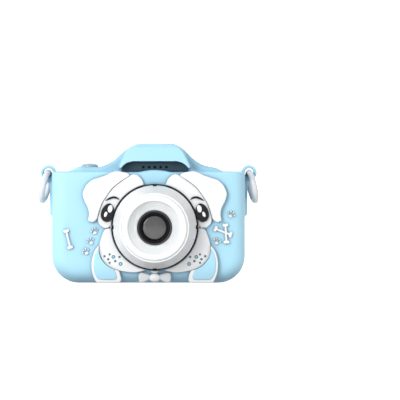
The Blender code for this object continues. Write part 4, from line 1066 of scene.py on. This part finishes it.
class KidsCameraBack(bpy.types.Operator):
    """Make the hard back: its shell with screen recess and key wells, the window, selfie lens and screws"""
    bl_idname = "kids_camera.back"
    bl_label = "Back and screen"

    def execute(self, context):
        shell_blue = moulded("shell blue", settings().back.shell, 0.34, grain=0.00001)
        self.make_shell(shell_blue)
        self.make_window()
        self.make_selfie()
        self.make_screws()
        return {"FINISHED"}

    def make_shell(self, material):
        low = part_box("rear_housing")[0]
        shell = outer_form(SKIN + GAP)
        shell = cut(shell, box((-FAR, -FAR, -0.01), (FAR, low.y, FAR)))
        shell = cut(shell, outer_form(SKIN + GAP + WALL))
        inner = BACK_Y - SKIN - GAP - WALL
        pad = rounded_edges(plate(lip_outline(GAP), inner + PAD_LAP, PAD_Y), 0.0004, 4, 60)
        screws = [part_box(f"screw_{number}") for number in (1, 2, 3, 4)]
        middles = [((a.x + b.x) / 2, (a.z + b.z) / 2) for a, b in screws]
        bosses = [rod((x, low.y, z), (x, inner + PAD_LAP, z), BOSS_R, 40) for x, z in middles]
        shell = joined(shell, pad, *bosses)
        holes = [plate(screen_outline(), PAD_Y - 0.0015, BACK_Y), plate(screen_outline(BEZEL), low.y, BACK_Y)]
        door_low, door_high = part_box("port_flap")
        holes.append(box((SIDE_X - 0.012, door_low.y - GAP, door_low.z - GAP),
                         (SIDE_X + 0.003, door_high.y + GAP, door_high.z + GAP)))
        holes.append(rod((LENS_X, low.y, EYE_Z), (LENS_X, BACK_Y, EYE_Z), SELFIE_TUBE_R, 64))
        for x, z in middles:
            holes.append(rod((x, low.y - 0.001, z), (x, BACK_Y, z), SCREW_HOLE_R, 24))
            holes.append(rod((x, PAD_Y - SCREW_HEAD_ROOM, z), (x, BACK_Y, z), SCREW_HEAD_HOLE_R, 40))
        for name, x, z, radius in key_places():
            holes.append(rod((x, low.y, z), (x, BACK_Y, z), radius + GAP, 56))
        button_low, button_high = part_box("shutter_button")
        x, y = (button_low.x + button_high.x) / 2, (button_low.y + button_high.y) / 2
        room = (button_high.x - button_low.x) / 2 + GAP
        holes.append(rod((x, y, button_low.z), (x, y, HUMP_TOP), room, 64))
        shell = cut(shell, *holes)
        piece(shell, "back_shell", material, ["rear_housing"])

    def make_window(self):
        low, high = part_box("screen_window")
        view_low, view_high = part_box("lcd_panel")

        def make():
            made = Finish("screen", (0.006, 0.006, 0.008), 0.09, coat=0.25, specular=0.4)
            inset = 0.0012
            mask = made.inside((view_low.x + inset, None, view_low.z + inset),
                               (view_high.x - inset, None, view_high.z - inset))
            made.tint(mask, (0.022, 0.026, 0.034))
            dots = made.band((0, 0, 0), "X", 3200, "BANDS")
            made.tint(made.ramp(dots, 0.4, 1.0, 0, 0.10), (0.03, 0.034, 0.045))
            return made.uneven_gloss(160, 0.02)
        window = rounded_edges(plate(screen_outline(GAP), low.y, high.y), 0.00025, 3, 60)
        piece(window, "window", finish("screen", make), ["screen_window"])

    def make_selfie(self):
        low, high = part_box("selfie_lens")
        back = Matrix.Translation((LENS_X, high.y, EYE_Z)) @ Matrix.Rotation(-math.pi / 2, 4, "X")
        radius = (high.x - low.x) / 2
        depth = high.y - low.y
        line = [(0.0018 * math.sin(t), -0.0006 + 0.0004 * math.cos(t))
                for t in (math.radians(15 * k) for k in range(7))]
        line += [(0.0019, -0.0009), (0.0021, -0.0009), (0.0024, -0.0003), (radius - 0.0005, -0.0002),
                 (radius - 0.0001, -0.0004), (radius, -0.0007), (radius, -depth), (0, -depth)]
        piece(turned(line, sides=72, axis=back), "selfie_glass",
              coated_glass("coated glass", settings().lens.glass),
              ["selfie_lens"])

    def make_screws(self):
        low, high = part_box("screw_1")
        length = high.y - low.y
        head = 0.0011
        line = [(0, 0), (0.0011, -0.00003), (0.0015, -0.00015), (0.0017, -0.0004), (0.0017, -head),
                (0.0009, -head), (0.0009, -length + 0.0008), (0.0003, -length), (0, -length)]
        screw = turned(line, "screw", 48, Matrix.Rotation(-math.pi / 2, 4, "X"))
        for turn in (0, 1):
            slot = box((-0.0010, -0.0006, -0.00022), (0.0010, 0.001, 0.00022))
            slot.data.transform(Matrix.Rotation(turn * math.pi / 2, 4, "Y"))
            screw = cut(screw, slot)
        names = [f"screw_{number}" for number in (1, 2, 3, 4)]
        places = []
        for number, name in enumerate(names):
            start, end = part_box(name)
            spot = ((start.x + end.x) / 2, end.y, (start.z + end.z) / 2)
            places.append((spot, (1, 1, 1), (0, math.radians(23 + 31 * number), 0)))
        steel = brushed("zinc steel", (0.40, 0.40, 0.42))
        piece(copies(screw, places, steel), "case_screws", steel, names)


class KidsCameraKeys(bpy.types.Operator):
    """Make the seven keys with their symbols, each riding on its own body"""
    bl_idname = "kids_camera.keys"
    bl_label = "Keys"

    def execute(self, context):
        white = moulded("key white", settings().back.keys, 0.28, coat=0.2)
        blue = moulded("symbol blue", settings().back.symbols, 0.4)
        for name, x, z, radius in key_places():
            low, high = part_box(name)
            axis = Matrix.Translation((x, high.y, z)) @ Matrix.Rotation(-math.pi / 2, 4, "X")
            crown = [(radius * 0.86 * math.sin(t), -0.0004 + 0.0004 * math.cos(t))
                     for t in (math.radians(10 * k) for k in range(7))]
            shoulder = arc((radius - 0.0004, -0.00062), 0.0004, 62, 0, 6)
            deep = low.y - high.y
            line = crown + shoulder + [(radius, deep + 0.0006), (radius + 0.0007, deep + 0.0006),
                                       (radius + 0.0007, deep), (0, deep)]
            piece(turned(line, sides=64, axis=axis), name + "_cap", white, [name],
                  name + "_body")
            for number, shape in enumerate(self.symbol(name)):
                mark = plate([(x - a * MM, z + b * MM) for a, b in shape], high.y - 0.00032, high.y + 0.00004)
                piece(mark, f"{name}_symbol_{number}", blue, (), name + "_body")
        return {"FINISHED"}

    def symbol(self, name):
        """Outlines in millimetres, as seen from behind."""
        arrow = [(-0.85, -0.5), (0.85, -0.5), (0, 0.8)]
        turns = {"key_up": 0, "key_left": 90, "key_down": 180, "key_right": 270}
        if name in turns:
            return [leaning(arrow, turns[name])]
        if name == "key_ok":
            ring = arc((0, 0), 1.3, 0, 350, 40) + arc((0, 0), 1.0, 350, 0, 40)
            return [ring]
        if name == "key_menu":
            return [[(-0.85, h - 0.12), (0.85, h - 0.12), (0.85, h + 0.12), (-0.85, h + 0.12)]
                    for h in (-0.55, 0, 0.55)]
        bow = arc((0, 0), 0.95, 120, 420, 30) + arc((0, 0), 0.68, 420, 120, 30)
        return [bow, [(-0.13, 0.1), (0.13, 0.1), (0.13, 1.1), (-0.13, 1.1)]]


RING_MIDDLE_R = 0.0070      # to the middle of the wire
RING_WIRE_R = 0.0015
RING_LEAN = 12
RING_YAW = 8


class KidsCameraMoving(bpy.types.Operator):
    """Make the shutter button, the carry rings and the port flap"""
    bl_idname = "kids_camera.moving"
    bl_label = "Button, rings and flap"

    def execute(self, context):
        self.make_shutter()
        self.make_rings()
        self.make_flap()
        return {"FINISHED"}

    def make_shutter(self):
        low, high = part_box("shutter_button")
        radius = (high.x - low.x) / 2
        tall = high.z - low.z
        crown = [(radius * math.sin(t), -0.0015 + 0.0015 * math.cos(t) ** 0.8) for t in
                 (math.radians(7.5 * k) for k in range(12))]
        foot, foot_h = 0.00325, 0.0009
        stem, cap_h = 0.0022, 0.0024
        line = crown + [(radius, -0.0015), (radius, -cap_h), (stem, -cap_h), (stem, -tall + foot_h),
                        (foot, -tall + foot_h), (foot, -tall), (0, -tall)]
        axis = Matrix.Translation(((low.x + high.x) / 2, (low.y + high.y) / 2, high.z))
        silver = moulded("pearl silver", settings().back.silver, 0.24, coat=0.5)
        piece(turned(line, sides=96, axis=axis), "shutter_cap", silver, ["shutter_button"],
              "shutter")

    def make_rings(self):
        white = moulded("ring pearl", settings().back.ring, 0.26, coat=0.3)
        for side, word in ((-1, "left"), (1, "right")):
            work = bmesh.new()
            count, sides = 96, 28
            grid = []
            for step in range(count):
                around = 2 * math.pi * step / count
                middle = Vector((0, math.sin(around), math.cos(around)))
                row = []
                for part in range(sides):
                    turn = 2 * math.pi * part / sides
                    aside = Vector((RING_WIRE_R * math.sin(turn), 0, 0))
                    spot = middle * (RING_MIDDLE_R + RING_WIRE_R * math.cos(turn)) + aside
                    row.append(work.verts.new(spot - Vector((0, 0, RING_MIDDLE_R))))
                grid.append(row)
            for a in range(count):
                for b in range(sides):
                    c, d = (a + 1) % count, (b + 1) % sides
                    work.faces.new((grid[a][b], grid[a][d], grid[c][d], grid[c][b]))
            ring = from_bmesh("ring", work)
            lean = Matrix.Rotation(-side * math.radians(RING_LEAN), 4, "Y")
            yaw = Matrix.Rotation(side * math.radians(RING_YAW), 4, "Z")
            ring.matrix_world = Matrix.Translation((side * LUG.x, LUG.y, LUG.z)) @ lean @ yaw
            piece(face_out(baked(ring)), f"carry_ring_{word}", white, [f"ring_{word}"],
                  f"ring_{word}_body")

    def make_flap(self):
        low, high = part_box("port_flap")
        door = rounded_edges(box(low, high), 0.0003, 4)
        grip = box((high.x - 0.0006, high.y - 0.0009, (low.z + high.z) / 2 - 0.004),
                   (high.x + 0.001, high.y + 0.001, (low.z + high.z) / 2 + 0.004))
        door = cut(door, rounded_edges(grip, 0.0003, 3))
        sky = soft_silicone("sky silicone", settings().case.colour)
        piece(door, "port_door", sky, ["port_flap"], "flap")


class KidsCameraInner(bpy.types.Operator):
    """Give the inner pieces their finishes"""
    bl_idname = "kids_camera.inner"
    bl_label = "Inner pieces"

    def execute(self, context):
        black = moulded("component black", (0.02, 0.02, 0.022), 0.42)
        steel = brushed("stamped steel", (0.55, 0.55, 0.57))
        shell = moulded("shell blue", settings().back.shell, 0.34, grain=0.00001)
        amber = moulded("ribbon amber", (0.45, 0.22, 0.04), 0.3, coat=0.3)
        foam = moulded("gasket foam", (0.03, 0.03, 0.03), 0.8, grain=0.00004)
        panel = moulded("display panel", (0.02, 0.024, 0.03), 0.12, coat=0.6)
        wanted = {
            "front_housing": shell, "camera_module": black, "camera_flex": amber,
            "main_board": circuit_board(), "battery": crinkled_foil(), "speaker": black,
            "microphone": steel, "lcd_panel": panel, "screen_gasket": foam, "selfie_module": black,
            "shutter_switch": steel, "dome_sheet": steel, "usb_port": steel, "card_socket": steel,
            "memory_card": black,
        }
        for name, material in wanted.items():
            node = frame["nodes"][name]
            node.data.materials.clear()
            node.data.materials.append(material)
        return {"FINISHED"}


# ---------------------------------------------------------------- stage
LEFT_SIDE_SHARE = 0.55      # the left side light against the right one
ROOM_LIGHT_FROM = (-0.62, -0.62, 0.34)
SENSOR = 36
VIEW_CENTRE = (0.0251, 0.0405)
VIEW_LIFT = 1.5


class KidsCameraStage(bpy.types.Operator):
    """Make the pale floor with its sweep, the soft lights and the render camera"""
    bl_idname = "kids_camera.stage"
    bl_label = "Stage"

    def execute(self, context):
        self.make_floor()
        self.make_lights()
        self.make_camera()
        return {"FINISHED"}

    def make_floor(self):
        work = bmesh.new()
        reach, far, bend = 6.0, 2.2, 1.2
        line = [(-6.0, 0.0), (far, 0.0)]
        line += [(far + bend * math.sin(t), bend - bend * math.cos(t))
                 for t in (math.radians(7.5 * k) for k in range(1, 13))]
        line.append((far + bend, 6.0))
        rows = [[work.verts.new((x, y, z - 0.0001)) for x in (-reach, reach)] for y, z in line]
        for first, second in zip(rows, rows[1:]):
            work.faces.new((first[0], first[1], second[1], second[0]))
        floor = from_bmesh("floor", work)
        floor.data.shade_smooth()

        def make():
            made = Finish("pale floor", settings().stage.floor, 0.7, specular=0.2)
            made.shader.inputs["Emission Color"].default_value = (1, 1, 1, 1)
            made.shader.inputs["Emission Strength"].default_value = settings().stage.glow
            made.uneven_gloss(12, 0.04)
            return made.grain(300, 0.00002, 0.1)
        floor.data.materials.append(finish("pale floor", make))
        floor.visible_diffuse = False

    def make_lights(self):
        values = settings().stage
        for name, power, size, place, aim in (
                ("key", values.key_power, (0.16, 0.16), (-0.22, -0.33, 0.17), (0, 0, 0.03)),
                ("fill", values.fill_power, (0.12, 0.30), (0.42, -0.26, 0.08), (0, 0, 0.03)),
                ("left side", values.side_power * LEFT_SIDE_SHARE, (0.10, 0.20), (-0.44, -0.07, 0.09),
                 (0, -0.03, 0.03)),
                ("right side", values.side_power, (0.10, 0.20), (0.44, -0.07, 0.07), (0, -0.03, 0.03)),
                ("low front", values.low_power, (0.30, 0.03), (-0.30, -0.50, 0.02), (0, 0, 0.03)),
                ("top strip", values.rim_power, (0.40, 0.08), (-0.05, 0.10, 0.42), (0, 0, 0.05))):
            light = bpy.data.lights.new(name, "AREA")
            light.energy = power
            light.shape = "RECTANGLE"
            light.size, light.size_y = size
            lamp = new_object(name, light)
            lamp.location = place
            lamp.rotation_euler = (Vector(aim) - Vector(place)).to_track_quat("-Z", "Y").to_euler()
        self.make_room()

    def make_room(self):
        """Even room light that is stronger on the key's side."""
        values = settings().stage
        world = bpy.data.worlds.new("room")
        world.use_nodes = True
        nodes, links = world.node_tree.nodes, world.node_tree.links
        coords = nodes.new("ShaderNodeTexCoord")
        towards = nodes.new("ShaderNodeVectorMath")
        towards.operation = "DOT_PRODUCT"
        towards.inputs[1].default_value = Vector(ROOM_LIGHT_FROM).normalized()
        level = nodes.new("ShaderNodeMapRange")
        for name, value in (("From Min", -1), ("From Max", 1), ("To Min", values.sky_low),
                            ("To Max", values.sky_high)):
            level.inputs[name].default_value = value
        links.new(coords.outputs["Generated"], towards.inputs[0])
        links.new(towards.outputs["Value"], level.inputs["Value"])
        links.new(level.outputs["Result"], nodes["Background"].inputs["Strength"])
        nodes["Background"].inputs["Color"].default_value = (1, 1, 1, 1)
        bpy.context.scene.world = world

    def make_camera(self):
        values = settings().stage
        data = bpy.data.cameras.new("view")
        data.sensor_width = SENSOR
        data.lens = SENSOR * values.distance / values.view
        data.clip_end = 50
        camera = new_object("view", data)
        target = Vector((VIEW_CENTRE[0], FRONT_Y, VIEW_CENTRE[1]))
        lift = math.radians(VIEW_LIFT)
        camera.location = target + values.distance * Vector((0, -math.cos(lift), math.sin(lift)))
        camera.rotation_euler = (target - camera.location).to_track_quat("-Z", "Y").to_euler()
        bpy.context.scene.camera = camera
        bpy.context.scene.view_settings.view_transform = "Standard"


OPERATORS = (KidsCameraStage, KidsCameraCase, KidsCameraGrille, KidsCameraLens, KidsCameraFace,
             KidsCameraMarks, KidsCameraBack, KidsCameraKeys, KidsCameraMoving, KidsCameraInner)


class KidsCameraPanel(bpy.types.Panel):
    """Buttons that make the camera's finished pieces"""
    bl_idname = "VIEW3D_PT_kids_camera"
    bl_label = "Kids camera"
    bl_space_type = "VIEW_3D"
    bl_region_type = "UI"
    bl_category = "Kids camera"

    def draw(self, context):
        for operator in OPERATORS:
            self.layout.operator(operator.bl_idname)


CLASSES = (CaseSettings, TrimSettings, LensSettings, BackSettings, StageSettings, CameraSettings, *OPERATORS,
           KidsCameraPanel)


def register():
    for item in CLASSES:
        bpy.utils.register_class(item)
    bpy.types.Scene.kids_camera = bpy.props.PointerProperty(type=CameraSettings)


def unregister():
    del bpy.types.Scene.kids_camera
    for item in reversed(CLASSES):
        bpy.utils.unregister_class(item)


def main():
    register()
    for operator in OPERATORS:
        group, name = operator.bl_idname.split(".")
        getattr(getattr(bpy.ops, group), name)()


if __name__ == "__main__":
    main()
